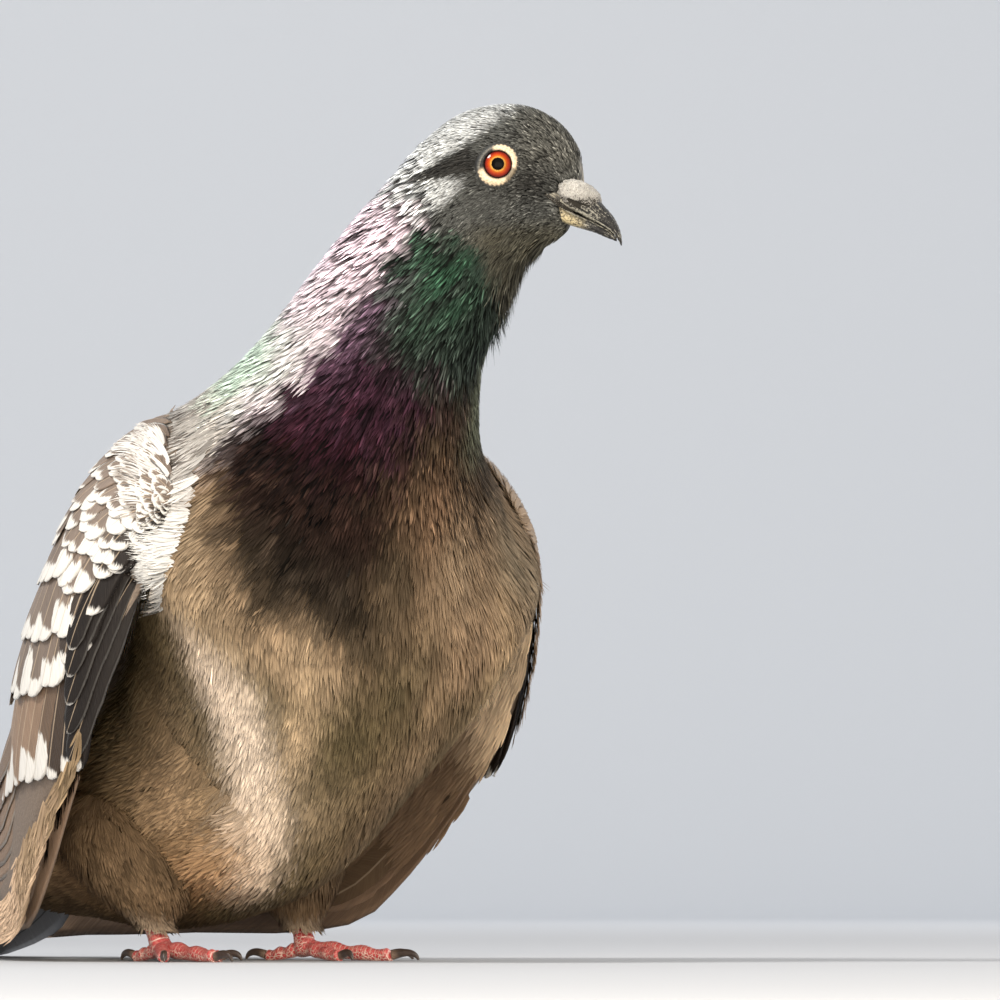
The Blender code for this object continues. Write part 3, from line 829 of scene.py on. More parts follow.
def shell(part, grid, along, around, colour):
    """A closed shell for the skin: points, faces, its colours per point and its map per corner."""
    rings, columns = grid.shape[:2]
    points, faces = closed(grid)
    ends_along = np.concatenate([np.repeat(along, columns), [along[0], along[-1]]])
    ends_around = np.concatenate([np.tile(around, rings), [0.5, 0.5]])
    corner = ends_around[faces]
    wraps = corner.max(1) - corner.min(1) > 0.6
    corner = np.where(wraps[:, None] & (corner < 0.4), 0.9999, corner)
    return points, faces, with_ends(colour), on_skin_map(
        part, ends_along[faces].ravel(), corner.ravel())

# %% Colours of the bare ring
RING_CREAM, RING_DULL = np.array([0.86, 0.68, 0.46]), (0.16, 0.13, 0.085)
RING_DARK, RING_BEADS = (0.010, 0.009, 0.009), (0.05, 0.045, 0.035)
LINE_DARK, LINE_PALE, LID_MARGIN = (0.030, 0.028, 0.024), (0.22, 0.21, 0.18), (0.006, 0.005, 0.005)


def ring_colours(points, reach, angle, outer):
    """Cream flesh, dark behind and dull low in front, with a black margin round the eyeball.

    Round the dark part runs a thin line, pale where it breaks up.
    """
    around = np.degrees(angle)
    cream = 0.86 + 0.14 * np.sin(angle * 34) * np.sin(reach * 9) + 0.10 * mottle(points, 1.1, 11)
    dull = soft(np.abs(turned(around, 322)), 32, 18) * (reach > IRIS)
    flesh = laid_over(RING_CREAM * cream[..., None], RING_DULL, dull * 0.85)
    dark = soft(np.abs(turned(around, 152)), 56, 36)
    border = soft(reach, outer - 0.5, outer - 0.3)
    flesh = laid_over(flesh, RING_DARK, dark * (1 - border))
    line = dark * border
    broken = 0.35 + 0.65 * soft(mottle(points, 0.9, 64), -0.2, 0.5)
    flesh = laid_over(flesh, LINE_DARK, line)
    flesh = laid_over(flesh, LINE_PALE, line * broken * 0.7)
    width = 0.20 + 0.18 * soft(np.abs(turned(around, 240)), 80, 20)
    flesh = laid_over(flesh, LID_MARGIN, bell(reach, IRIS, width))
    edge = soft(reach, outer - 0.30, outer - 0.02) * (0.5 + 0.5 * np.sin(angle * 30))
    return laid_over(flesh, RING_BEADS, edge)

# %% Shell of the body
UNDER_COAT = 0.55         # the skin is this much darker than the coat over it
FACE_DARK, FACE_SCALES = (0.040, 0.037, 0.032), (0.42, 0.39, 0.31)


def body_shell():
    """The grid lies closer together round the eyes, where the bare ring is raised and coloured."""
    t = packed(0.0, SPINE_END, 215, [EYE_T], 1.45, 9.0)
    theta = packed(0, TURN, 281, [EYE_THETA, TURN - EYE_THETA], 0.42, 4.0)[:-1]
    along, angles = np.meshgrid(t, theta, indexing="ij")
    points = raise_lids(body(along, angles, -coat_depth(along)))
    colour = plumage(along, angles, body(along, angles)) * UNDER_COAT
    for sign in (LEFT, RIGHT):
        reach, high, angle = eye_polar(points, sign)
        outer = ring_reach(angle)
        bare = (1 - soft(reach, outer - 0.05, outer + 0.2)) * (high > 0)
        colour = laid_over(colour, ring_colours(points, reach, angle, outer), bare)
    face = soft(bare_face(points), -0.3, 0.3) * soft(t[:, None], 3.6, 3.0)
    scaly = soft(mottle(points, 1.2, 61) + 0.7 * mottle(points, 0.7, 62), 0.1, 0.7)
    bare_skin = laid_over(np.zeros(points.shape) + FACE_DARK, FACE_SCALES, scaly)
    colour = laid_over(colour, bare_skin, face)
    return shell("body", points, t / SPINE_END, theta / TURN, colour)

# %% Shells of the wings and thighs
def wing_shell(sign, part):
    """The flesh of a folded wing: under the coverts outside, and under the lining inside."""
    s = np.linspace(0.4, 6.4, 40)
    share = np.linspace(0.05, 0.95, 22)
    outside = wing(s[:, None], share[None], sign, -2.4)
    inside = wing(s[:, None], share[None, ::-1], sign, -1.6, inside=True)
    grid = np.concatenate([outside, inside], 1)
    around = np.linspace(0, 1, grid.shape[1], endpoint=False)
    colour = np.zeros(grid.shape) + (0.16, 0.12, 0.09)
    return shell(part, grid, np.linspace(0, 1, len(s)), around, colour)


def thigh_shell(sign, part):
    height = np.linspace(-1.5, 22, 16)
    angle = round_angles(40)
    grid = thigh(height[:, None], angle[None], sign, -1.6)
    colour = np.zeros(grid.shape) + np.array(EARTH)
    return shell(part, grid, np.linspace(0, 1, 16), angle / TURN, colour)

# %% One skin
def skin_material():
    """Thin pale skin with short grey down on it; the ring round the eye is moist and beaded."""
    p = Paint("skin_under_coat", Roughness=0.6)
    colour = p.colour("plumage")
    grain = p.noise(1400, detail=3)
    p.wear(Base_Color=p.scaled(colour, 0.72 + 0.56 * grain))
    p.bumps(grain, 0.0002)
    return p.material


def join_shells(shells, material):
    """One closed mesh from overlapping closed shells, by Boolean unions."""
    things = [linked("shell", mesh_of("shell", points, faces, material, colours={"plumage": colours},
                                      maps={"OFBake": uv})) for points, faces, colours, uv in shells]
    for other in things[1:]:
        union = things[0].modifiers.new("union", "BOOLEAN")
        union.operation = "UNION"
        union.solver = "MANIFOLD"
        union.object = other
    graph = bpy.context.evaluated_depsgraph_get()
    joined = bpy.data.meshes.new_from_object(things[0].evaluated_get(graph))
    for thing in things:
        bpy.data.objects.remove(thing, do_unlink=True)
    joined.name = "skin"
    joined.polygons.foreach_set("use_smooth", np.ones(len(joined.polygons), bool))
    return joined


shells = [body_shell()]
for side, sign in SIDES.items():
    shells.append(wing_shell(sign, "wing_" + side))
    shells.append(thigh_shell(sign, "thigh_" + side))
skin_mesh = join_shells(shells, skin_material())
hand_over(linked("skin", skin_mesh),
          ["head", "neck", "trunk", "thigh_left", "thigh_right"])
print("skin", len(skin_mesh.polygons), "faces,", [a.name for a in skin_mesh.attributes])

# %% [markdown]
# ## The small feathers
# A contour feather shows only its outer third, where its barbs part into soft clumps. Hair particles
# would not survive an export, and a flat card with a picture on it shows its edge, so every feather is
# a fan of thin closed blades. Each blade follows the body's own surface: its points are read from the
# body's function a little further along and round, a little higher towards the tip.

# %% A blade
SECTION = np.array([[-1.0, 0.0], [1.0, 0.0], [0.0, 1.0]])   # a blade's section: across, high
PATCH = 0.003       # side of a tuft's patch on the skin's unwrap
EVEN = 0.75         # how much a blade is shaded like the surface it grows on


def blade_faces(stations):
    """Triangles of one closed blade with a three-sided section at each station, and a tip."""
    faces = []
    for r in range(stations - 1):
        for k in range(3):
            a, b = 3 * r + k, 3 * r + (k + 1) % 3
            faces += [(a, b, b + 3), (a, b + 3, a + 3)]
    last = 3 * (stations - 1)
    faces += [(last + k, last + (k + 1) % 3, last + 3) for k in range(3)]
    faces.append((0, 2, 1))
    return np.array(faces)


print("a blade of three stations has", len(blade_faces(3)), "triangles")

# %% Roots in rows
def scatter(surface, t_range, theta_range, along, across, rng, jitter=0.3):
    """Roots in staggered rows about along mm apart, and across mm apart within a row.

    The rows' places come from the mean length of a step in t, and each row holds as many roots as
    the row's length divided by across.
    """
    fine = np.linspace(*t_range, 120)
    ring = np.linspace(*theta_range, 160)
    grid = surface(fine[:, None], ring[None], 0.0)
    steps = np.linalg.norm(np.diff(grid, axis=0), axis=-1).mean(1)
    total = np.concatenate([[0], np.cumsum(steps)])
    rows = np.interp(np.arange(along / 2, total[-1], along), total, fine)
    lengths = np.linalg.norm(np.diff(grid, axis=1), axis=-1).sum(1)
    found_t, found_theta = [], []
    for number, t in enumerate(rows):
        count = max(3, int(np.interp(t, fine, lengths) / across))
        ring_points = surface(np.full(160, t), ring, 0.0)
        way = np.concatenate([[0], np.cumsum(np.linalg.norm(np.diff(ring_points, axis=0), axis=-1))])
        at = (np.arange(count) + 0.5 * (number % 2) + rng.uniform(-jitter, jitter, count)) / count
        found_theta.append(np.interp(at % 1.0 * way[-1], way, ring))
        found_t.append(t + rng.uniform(-jitter, jitter, count) * (rows[1] - rows[0]))
    return np.concatenate(found_t), np.concatenate(found_theta)

# %% Tufts on a surface
def frames_at(surface, t, theta):
    """At each root: unit vectors along and out, and mm for each unit of t and of theta."""
    small = 1e-3
    here = surface(t, theta, 0.0)
    by_t = (surface(t + small, theta, 0.0) - here) / small
    by_theta = (surface(t, theta + small, 0.0) - here) / small
    out = unit(surface(t, theta, 1.0) - here)
    normal = np.cross(by_t, by_theta)
    normal = unit(normal * np.sign((normal * out).sum(-1, keepdims=True)))
    return unit(by_t), normal, np.linalg.norm(by_t, axis=-1), np.linalg.norm(by_theta, axis=-1)


def tufts(surface, t, theta, length, width, depth, rng, blades=5, stations=3, lift=0.3, heading=0.0,
          thick=0.16, point=0.35, ragged=0.12, splay=1.0, cup=0.25, curl=0.0):
    """Arrays of feathers, each a fan of closed blades on a surface (t, theta, grow).

    A blade at s in [-1, 1] across its feather runs to t + L (1 - point s^2) v / |dP/dt| and
    theta + (s W / 2 spread(v) + L v sin heading) / |dP/dtheta|, at the height
    -depth (1 - v)^1.2 + lift v^2 - cup s^2 v.
    """
    count = len(t)
    length, width, depth, lift, heading = (np.broadcast_to(np.asarray(x, float), count)[:, None, None]
                                           for x in (length, width, depth, lift, heading))
    along, normal, per_t, per_theta = frames_at(surface, t, theta)
    side = np.cross(normal, along)
    s = np.linspace(-1, 1, blades)[None, :, None]
    v = np.append(np.linspace(0, 0.8, stations), 1.0)[None, None, :]
    ragged_length = 1 + rng.uniform(-ragged, ragged, (count, blades, 1))
    sway = rng.uniform(-0.5, 0.5, (count, blades, 1)) * width / blades
    high = rng.uniform(-0.5, 0.5, (count, blades, 1)) * thick
    spread = (0.35 + 0.65 * v ** 0.7) * splay
    ahead = length * (1 - point * s ** 2) * ragged_length * v
    aside = s * width / 2 * spread + ahead * np.sin(heading) + (sway + curl * width) * v ** 2
    grow = -depth * (1 - v) ** 1.2 + lift * v ** 2 - cup * s ** 2 * v + high * v
    blade_t = t[:, None, None] + ahead * np.cos(heading) / per_t[:, None, None]
    blade_theta = theta[:, None, None] + aside / per_theta[:, None, None]
    centre = surface(blade_t, blade_theta, grow)
    half = width / blades * 0.62 * np.interp(v, [0, 0.4, 0.8, 1], [0.7, 1.0, 0.7, 0.0])
    ridge = thick * np.interp(v, [0, 0.5, 0.8, 1], [0.8, 1.0, 0.7, 0.0])
    ring = (centre[..., :-1, None, :]
            + side[:, None, None, None] * (half[..., :-1, None] * SECTION[:, 0])[..., None]
            + normal[:, None, None, None] * (ridge[..., :-1, None] * SECTION[:, 1])[..., None])
    points = np.concatenate([ring.reshape(count, blades, -1, 3), centre[:, :, -1:]], 2)
    each = points.shape[2]
    faces = blade_faces(stations)[None] + (np.arange(count * blades) * each)[:, None, None]
    down = np.append(np.repeat(v.ravel()[:-1], 3), 1.0)
    over = np.append(np.tile(SECTION[:, 0], stations), 0.0)
    vane = np.stack(np.broadcast_arrays(
        0.5 + 0.5 * (s + over / blades * 0.6) * (1 - 1 / blades), down[None, None]), -1)
    vane = np.broadcast_to(vane, (count, blades, each, 2))
    strand = np.broadcast_to(rng.uniform(0, 1, (count, blades, 1)), (count, blades, each))
    feather = np.broadcast_to(rng.uniform(0, 1, (count, 1, 1)), (count, blades, each))
    return {"points": points.reshape(-1, 3), "faces": faces.reshape(-1, 3), "normal": normal,
            "per_root": blades * each, "vane": vane.reshape(-1, 2), "strand": strand.ravel(),
            "feather": feather.ravel()}


def tuft_piece(name, surface, t, theta, size, rng, colours, bake_roots, material, slot, **shape):
    """A mesh of tufts of size (length, width, depth).

    Colours and places on the skin's unwrap come one for each root.
    """
    made = tufts(surface, t, theta, *size, rng, **shape)
    each = made["per_root"]
    bake = np.repeat(bake_roots, each, 0) + (made["vane"] - 0.5) * PATCH
    make_piece(name, made["points"], made["faces"], material, slot,
               lean=(np.repeat(made["normal"], each, 0), EVEN),
               floats={"strand": made["strand"], "feather": made["feather"]},
               colours={"plumage": np.repeat(colours, each, 0)},
               maps={"Vane": made["vane"], "OFBake": np.clip(bake, 0.0005, 0.9995)})

# %% Material of the coat
def coat_material(name, barbs, contrast, gaps, glints, root_shade, roughness=0.6, gloss=0.2,
                  shine=0.9):
    """Barbs in clumps, as fine lines along each blade and as darker and brighter blades.

    barbs is the number of lines across a feather and contrast their depth; gaps and glints are the
    shares of blades that lie in the dark between clumps and that catch the light, by shine.
    """
    p = Paint(name, Roughness=roughness, Specular_IOR_Level=gloss)
    across, along = p.across_and_along("Vane")
    strand = p.value("strand")
    feather = p.value("feather")
    lines = p.noise(1.0, p.joined(across * barbs, along * 0.8, feather * 40.0), detail=1)
    fine = lines.step(0.36, 0.64)
    grain = p.noise(1.0, p.joined(across * barbs * 2.5, along * 5.0, feather * 60.0), detail=2)
    tone = (1.0 - contrast / 2) + contrast * (0.7 * fine + 0.3 * strand) + 0.5 * contrast * (grain - 0.5)
    tone = tone + 0.16 * (feather - 0.5)
    tone = tone * (0.25 + 0.75 * strand.step(gaps * 0.8, gaps * 1.2 + 0.01))
    bright = strand.step(1.0 - glints * 1.2 - 0.01, 1.0 - glints * 0.8)
    tone = tone * (1.0 + shine * bright * (0.4 + 0.6 * fine))
    shade = (1.0 - root_shade) + root_shade * along.step(0.20, 0.80)
    p.wear(Base_Color=p.scaled(p.colour("plumage"), tone * shade))
    p.bumps(lines, 0.00012)
    return p.material

# %% [markdown]
# ### Coat of head, neck and body
# The rows of the coat go from tiny feathers at the bill to long ones on the belly. They are split into
# pieces by spine place, because a piece of fewer triangles is easier to handle. Each part has its own
# material: crisp and dark-gapped on the neck, soft and hair-fine on the breast.

# %% Roots on the body
def clear_of_eyes(t, theta, length):
    """Which roots lie off the bare rings, and lengths cut so that no tip reaches over a ring."""
    here = body(t, theta)
    keep = np.ones(len(t), bool)
    for sign in (LEFT, RIGHT):
        reach, high, angle = eye_polar(here, sign)
        gap = reach - ring_reach(angle)
        near = high > 0
        keep &= ~(near & (gap < 0.12))
        ahead_of = (np.cos(angle) > -0.2) & near
        length = np.where(ahead_of, np.minimum(length, np.clip(gap * 0.95, 0.5, None)), length)
        length = np.where(near & ~ahead_of, np.minimum(length, 1.1 + gap * 0.8), length)
    return keep, length


def coat_roots(t_range, theta_range, along, across, seed):
    rng = np.random.default_rng(seed)
    t, theta = scatter(body, t_range, theta_range, along, across, rng)
    inside = (t > 0.03) & (t < SPINE_END - 0.02)
    return t[inside], theta[inside], rng


def bake_on_body(t, theta):
    return on_skin_map("body", t / SPINE_END, theta / TURN)


def coat_piece(name, t, theta, rng, length, width, material, slot, **shape):
    tuft_piece(name, body, t, theta, (length, width, coat_depth(t)), rng,
               plumage(t, theta, body(t, theta)), bake_on_body(t, theta), material, slot, **shape)

# %% Materials of the coat
FULL = (0.0, TURN)
head_coat = coat_material("head_feathers", 5.0, 1.45, 0.13, 0.09, 0.55, gloss=0.07, shine=1.2)
crown_coat = coat_material("crown_feathers", 5.0, 1.0, 0.05, 0.03, 0.45, gloss=0.07)
neck_coat = coat_material("neck_feathers", 9.0, 1.3, 0.24, 0.17, 0.90, roughness=0.5, gloss=0.05,
                          shine=1.7)
neck_base_coat = coat_material("neck_base_feathers", 12.0, 1.0, 0.12, 0.10, 0.70, roughness=0.6,
                               gloss=0.04, shine=0.8)
body_coat = coat_material("body_feathers", 16.0, 0.50, 0.0, 0.0, 0.16, roughness=0.8, gloss=0.05)

# %% Feathers of the head
def head_feathers():
    """Tiny feathers from the bill's root to the back of the head, none on the bare face."""
    for name, t_range, seed, material in (("coat_face", (0.02, 3.6), 21, head_coat),
                                          ("coat_crown", (3.55, 6.0), 26, crown_coat)):
        t, theta, rng = coat_roots(t_range, FULL, 0.80, 0.80, seed)
        length = np.interp(t, [0, 1.2, 4, 6], [1.2, 1.8, 2.8, 3.6])
        keep, length = clear_of_eyes(t, theta, length)
        keep &= bare_face(body(t, theta)) < -0.1
        t, theta, length = t[keep], theta[keep], length[keep]
        chin = soft(np.cos(theta), -0.5, -0.85) * soft(t, 0.3, 1.2)
        coat_piece(name, t, theta, rng, length * (1 + 0.5 * chin), 1.0, material,
                   "head_feathers", blades=3, stations=3, thick=0.08, ragged=0.25, cup=0.04,
                   lift=0.08 + 0.4 * chin, heading=rng.normal(0, 0.07, len(t)))


def loose_tufts():
    """Shaggy points under the chin and on the throat, and stray hairs along the breast."""
    rng = np.random.default_rng(27)
    t = rng.uniform(1.6, 7.4, 420)
    theta = math.pi + rng.normal(0, 0.33, 420)
    coat_piece("throat_points", t, theta, rng, np.interp(t, [1, 3, 7], [3.8, 5.8, 6.8]), 1.3,
               head_coat, "head_feathers", blades=3, stations=3, thick=0.10, ragged=0.3,
               lift=rng.uniform(0.6, 3.8, 420), heading=rng.normal(0, 0.2, 420))
    t = rng.uniform(11.8, 14.6, 110)
    theta = rng.uniform(0.5, 0.95, 110) * math.pi
    coat_piece("breast_hairs", t, theta, rng, rng.uniform(7, 11, 110), 0.55, body_coat,
               "body_feathers", blades=2, stations=5, thick=0.10, ragged=0.3,
               lift=rng.uniform(1.2, 3.4, 110), heading=rng.normal(0, 0.25, 110))

# %% Feathers of neck and body
def neck_feathers():
    for name, t_range, seed, material in (("coat_neck", (5.7, 9.0), 22, neck_coat),
                                          ("coat_neck_base", (8.95, 11.4), 28, neck_base_coat)):
        t, theta, rng = coat_roots(t_range, FULL, 2.3, 1.75, seed)
        length = np.interp(t, [5.7, 8, 12], [4.4, 6.2, 8.5])
        width = np.interp(t, [5.7, 8, 12], [2.0, 2.6, 3.3])
        coat_piece(name, t, theta, rng, length, width, material, "neck_feathers", blades=5,
                   stations=3, thick=0.16, point=0.30, ragged=0.16, splay=0.9, lift=0.45,
                   heading=rng.normal(0, 0.10, len(t)))


def body_feathers():
    for name, t_range, seed in (("coat_breast", (11.3, 12.9), 23), ("coat_low_breast", (12.85, 14.3), 29),
                                ("coat_belly", (14.2, 17.1), 24), ("coat_vent", (17.0, 20.7), 25)):
        across = 2.3 if t_range[1] < 15 else 2.7
        t, theta, rng = coat_roots(t_range, FULL, 1.15 * across, across, seed)
        length = np.interp(t, [11, 14, 19, 21], [8.0, 9.5, 10, 7])
        width = np.interp(t, [11, 14, 15, 19], [3.0, 3.5, 4.2, 4.4])
        coat_piece(name, t, theta, rng, length, width, body_coat, "body_feathers",
                   blades=6, stations=3, thick=0.10, point=0.25, ragged=0.2, lift=0.30,
                   heading=rng.normal(0, 0.10, len(t)))


head_feathers()
loose_tufts()
neck_feathers()
body_feathers()

# %% [markdown]
# ## Wings and tail, feather by feather
# A folded wing is a stack of overlapping vanes: flight feathers lowest, and row upon row of coverts
# over them, each row shorter than the last. Here a feather is a thin closed vane that runs between
# two places on the wing's own surface, with a shaft down its middle, a rounded tip and an outline
# that is a little uneven where its barbs have parted. A row is given only by where its tips lie.

# %% Vanes
VANE_ACROSS = np.array([-1, -0.72, -0.42, -0.11, 0, 0.11, 0.42, 0.72, 1.0])
VANE_UNDER = np.array([0.6, 0.0, -0.6])
TIP_WHITE = (0.74, 0.715, 0.67)
NOTCHES = 0.05            # how far a vane's edge is uneven, as a share of its half width


def wing_outside(sign):
    return lambda s, share, lift: wing(s, share, sign, lift)


def wing_inside(sign):
    return lambda s, share, lift: wing(s, share, sign, lift, inside=True)


def vanes(surface, roots, tips, half, heights, rng, rounded=0.62, stations=13, roll=0.0, radius=45.0,
          thick=0.22, bow=0.0, camber=0.35):
    """Arrays of closed vanes between places (s, share) on a surface.

    At v along and u in [-1, 1] across: half width w = W (0.5 + 0.5 soft(v)) sqrt(1 - q^2.2), where q
    goes from 0 to 1 over the rounded end, and height = h0 + (h1 - h0) v + roll u
    - camber u^2 - (u w)^2 / (2 radius), with the shaft standing out along the middle.
    """
    count = len(roots)
    v = np.concatenate([np.linspace(0, rounded, stations - 6, endpoint=False),
                        rounded + (1 - rounded) * np.sin(np.linspace(0, math.pi / 2, 6))])
    half, roll = (np.broadcast_to(np.asarray(x, float), count) for x in (half, roll))
    bow = np.broadcast_to(np.asarray(bow, float), count)
    h0, h1 = (np.broadcast_to(np.asarray(x, float), count) for x in heights)
    path = roots[:, None] + (tips - roots)[:, None] * v[None, :, None]
    path[..., 1] += bow[:, None] * v * (1 - v)
    s, share = path[..., 0], path[..., 1]
    small = 1e-3
    here = surface(s, share, 0.0)
    by_s = (surface(s + small, share, 0.0) - surface(s - small, share, 0.0)) / (2 * small)
    by_share = (surface(s, share + small, 0.0) - surface(s, share - small, 0.0)) / (2 * small)
    out = unit(surface(s, share, 1.0) - here)
    normal = np.cross(by_s, by_share)
    normal = unit(normal * np.sign((normal * out).sum(-1, keepdims=True)))
    along = unit(np.gradient(here, axis=1))
    side = np.cross(normal, along)
    q = np.clip((v - rounded) / (1 - rounded), 0, 1)
    outline = (0.5 + 0.5 * soft(v, 0, 0.45)) * np.sqrt(np.clip(1 - q ** 2.2, 0, 1)) + 0.004
    u = np.concatenate([VANE_ACROSS, VANE_UNDER])
    top = np.concatenate([np.ones(len(VANE_ACROSS)), np.zeros(len(VANE_UNDER))])
    uneven = 1 + rng.uniform(-1, 1, (count, len(v), len(u))) * NOTCHES * (np.abs(u) > 0.99) * (
        v > 0.3)[None, :, None]
    x = u * outline[None, :, None] * half[:, None, None] * uneven
    shaft = 0.20 * bell(u, 0, 0.07) * (1 - 0.6 * v[:, None])
    shape = (h0[:, None] + (h1 - h0)[:, None] * v)[..., None] + roll[:, None, None] * u
    shape = shape - camber * u ** 2 - x ** 2 / (2 * radius) + shaft * top
    shape = shape - (1 - top) * thick
    points = here[:, :, None] + side[:, :, None] * x[..., None] + normal[:, :, None] * shape[..., None]
    faces = closed(points[0])[1]
    points = np.concatenate([points.reshape(count, -1, 3), points[:, 0].mean(1)[:, None],
                             points[:, -1].mean(1)[:, None]], 1)
    each = points.shape[1]
    faces = (faces[None] + (np.arange(count) * each)[:, None, None]).reshape(-1, 3)
    grid = np.stack(np.broadcast_arrays((u * 0.5 + 0.5)[None], v[:, None]), -1).reshape(-1, 2)
    grid = np.concatenate([grid, [[0.5, 0.0], [0.5, 1.0]]])
    length = np.linalg.norm(np.diff(here, axis=1), axis=-1).sum(1)
    return {"points": points.reshape(-1, 3), "faces": faces, "each": each, "count": count,
            "vane": np.tile(grid, (count, 1)), "length": length, "half": half}

# %% A piece of vanes
def vane_piece(name, sets, material, slot, replaces=()):
    """A mesh of vanes. Each set comes with its look, one value for each feather or one for all.

    On the map for baking the feathers stand side by side in a square of cells.
    """
    points, faces = gathered([(made["points"], made["faces"]) for made, _ in sets])
    floats = {key: [] for key in ("tip", "fringe", "rim", "dark", "feather", "span", "breadth")}
    colours, maps = [], []
    for made, look in sets:
        each, count = made["each"], made["count"]
        values = {"span": made["length"], "breadth": made["half"], **look}
        for key in floats:
            floats[key].append(np.repeat(np.broadcast_to(values[key], count), each))
        colours.append(np.repeat(np.broadcast_to(values["colour"], (count, 3)), each, 0))
        maps.append(made["vane"])
    vane = np.concatenate(maps)
    total = sum(made["count"] for made, _ in sets)
    cells = math.ceil(math.sqrt(total))
    number = np.repeat(np.arange(total), np.concatenate(
        [np.full(made["count"], made["each"]) for made, _ in sets]))
    corner = np.stack([number % cells, number // cells], -1)
    bake = (corner + 0.06 + 0.88 * vane) / cells
    make_piece(name, points, faces, material, slot, replaces,
               floats={key: np.concatenate(parts) for key, parts in floats.items()},
               colours={"plumage": np.concatenate(colours)}, maps={"Vane": vane, "OFBake": bake})


print("a vane is", len(VANE_ACROSS), "points wide on top and", len(VANE_UNDER), "below")

# %% Material of the vanes
def barbs_of(p, fineness):
    """Noise drawn out along barbs that lie aslant to the shaft, and the numbers it is made from."""
    across, along = p.across_and_along("Vane")
    side = (across * 2.0 - 1.0).size()
    reach = side * p.value("breadth")
    slant = along * p.value("span") - reach * 1.3
    barbs = p.noise(1.0, p.joined(slant * fineness, reach * 0.10, p.value("feather") * 50.0), detail=3)
    return across, along, side, reach, slant, barbs


def vane_material(name, roughness=0.5):
    """Dark centre and pale tip, a fine pale shaft and barbs aslant to it.

    The tip is pale up to tip (1 + fringe (side^2 - 0.4)) mm from its end: with a fringe below 0 that
    is a drop with its point along the shaft, and above 0 a border up both edges.
    """
    p = Paint(name, Roughness=roughness, Specular_IOR_Level=0.25)
    across, along, side, reach, slant, barbs = barbs_of(p, 1.9)
    from_tip = (1.0 - along) * p.value("span")
    broad = p.noise(1.0, p.joined(slant * 0.30, reach * 0.35, p.value("feather") * 90.0), detail=2)
    limit = p.value("tip") * (1.0 + p.value("fringe") * (side * side - 0.4) + 0.9 * (broad - 0.5))
    limit = limit + 2.6 * (barbs - 0.5)
    pale = 1.0 - from_tip.step(limit - 0.5, limit + 0.6)
    rim = side.step(0.80, 0.93) * p.value("rim")
    pale = (pale + rim).clamped() * (p.value("tip") + p.value("rim")).step(0.0, 0.05)
    line = 1.0 - (across - 0.5).size().step(0.008, 0.030)
    centre = p.scaled(p.colour("plumage"), (0.62 + 0.7 * barbs + 0.4 * (broad - 0.5)) * (
        1.0 - p.value("dark") * (1.0 - side) * 0.7))
    pale_colour = p.mix(broad, TIP_WHITE, tuple(0.80 * c for c in TIP_WHITE))
    pale_colour = p.scaled(pale_colour, 0.72 + 0.5 * barbs)
    colour = p.mix(pale, centre, pale_colour)
    colour = p.mix(line * 0.55, colour, p.mix(pale, (0.48, 0.37, 0.26), (0.40, 0.34, 0.27)))
    p.wear(Base_Color=colour)
    p.bumps(barbs, 0.00022)
    return p.material

# %% [markdown]
# ### Flight feathers and coverts
# Ten primaries and nineteen secondaries lie lowest, and ten rows of coverts lie over them, each row
# shorter than the one behind it. The rows differ only in where their tips lie and in their sizes, so a
# table holds them. The left wing's coverts are brown in front, where the breast runs over them.

# %% Rows of vanes
BROWN = np.array([0.27, 0.18, 0.120])
GREY_BROWN = np.array([0.20, 0.155, 0.125])
DARK_QUILL_AND_SHADE = np.array([0.013, 0.009, 0.007])
LEFT_BROWN = (0.27, 0.20, 0.14)
# Rows of coverts from the lowest to the front: line of tips, count, length in s, half width in mm,
# height of root and tip, length of the pale tip in mm, how that tip runs along the edges
COVERT_ROWS = (
    (((2.15, 0.12), (3.1, 0.20), (4.6, 0.44), (6.2, 0.86)), 17, 1.80, 6.0, (-2.2, 0.0), 6.0, 0.0),
    (((1.72, 0.15), (2.6, 0.25), (3.8, 0.50), (5.3, 0.90)), 17, 1.45, 5.6, (-1.8, 0.3), 5.6, 0.0),
    (((1.38, 0.17), (2.2, 0.30), (3.15, 0.55), (4.5, 0.92)), 17, 1.25, 5.0, (-1.5, 0.5), 4.9, 0.1),
    (((1.10, 0.18), (1.82, 0.34), (2.65, 0.59), (3.8, 0.93)), 18, 1.05, 4.3, (-1.3, 0.7), 4.2, 0.2),
    (((0.86, 0.20), (1.50, 0.38), (2.2, 0.62), (3.2, 0.93)), 18, 0.95, 3.6, (-1.2, 0.8), 3.4, 0.5),
    (((0.66, 0.24), (1.20, 0.42), (1.80, 0.66), (2.65, 0.92)), 18, 0.85, 3.0, (-1.1, 0.9), 2.6, 0.9),
    (((0.50, 0.28), (0.95, 0.46), (1.45, 0.69), (2.15, 0.91)), 17, 0.75, 2.6, (-1.0, 0.9), 2.6, 1.6),
    (((0.37, 0.32), (0.73, 0.51), (1.15, 0.72), (1.70, 0.90)), 17, 0.62, 2.2, (-0.9, 0.9), 2.4, 2.0),
    (((0.26, 0.37), (0.54, 0.55), (0.88, 0.74), (1.30, 0.88)), 16, 0.50, 2.0, (-0.8, 0.9), 2.2, 2.2),
    (((0.16, 0.42), (0.38, 0.59), (0.64, 0.76), (0.95, 0.86)), 14, 0.40, 1.9, (-0.8, 0.9), 2.2, 2.2),
)
SECONDARY_TIPS = ((3.10, 0.0), (3.7, 0.07), (4.7, 0.20), (5.9, 0.36), (6.7, 0.60), (7.1, 0.78))
S_STEP, SHARE_STEP = 20.0, 75.0         # mm of wing for one step of s, and of share


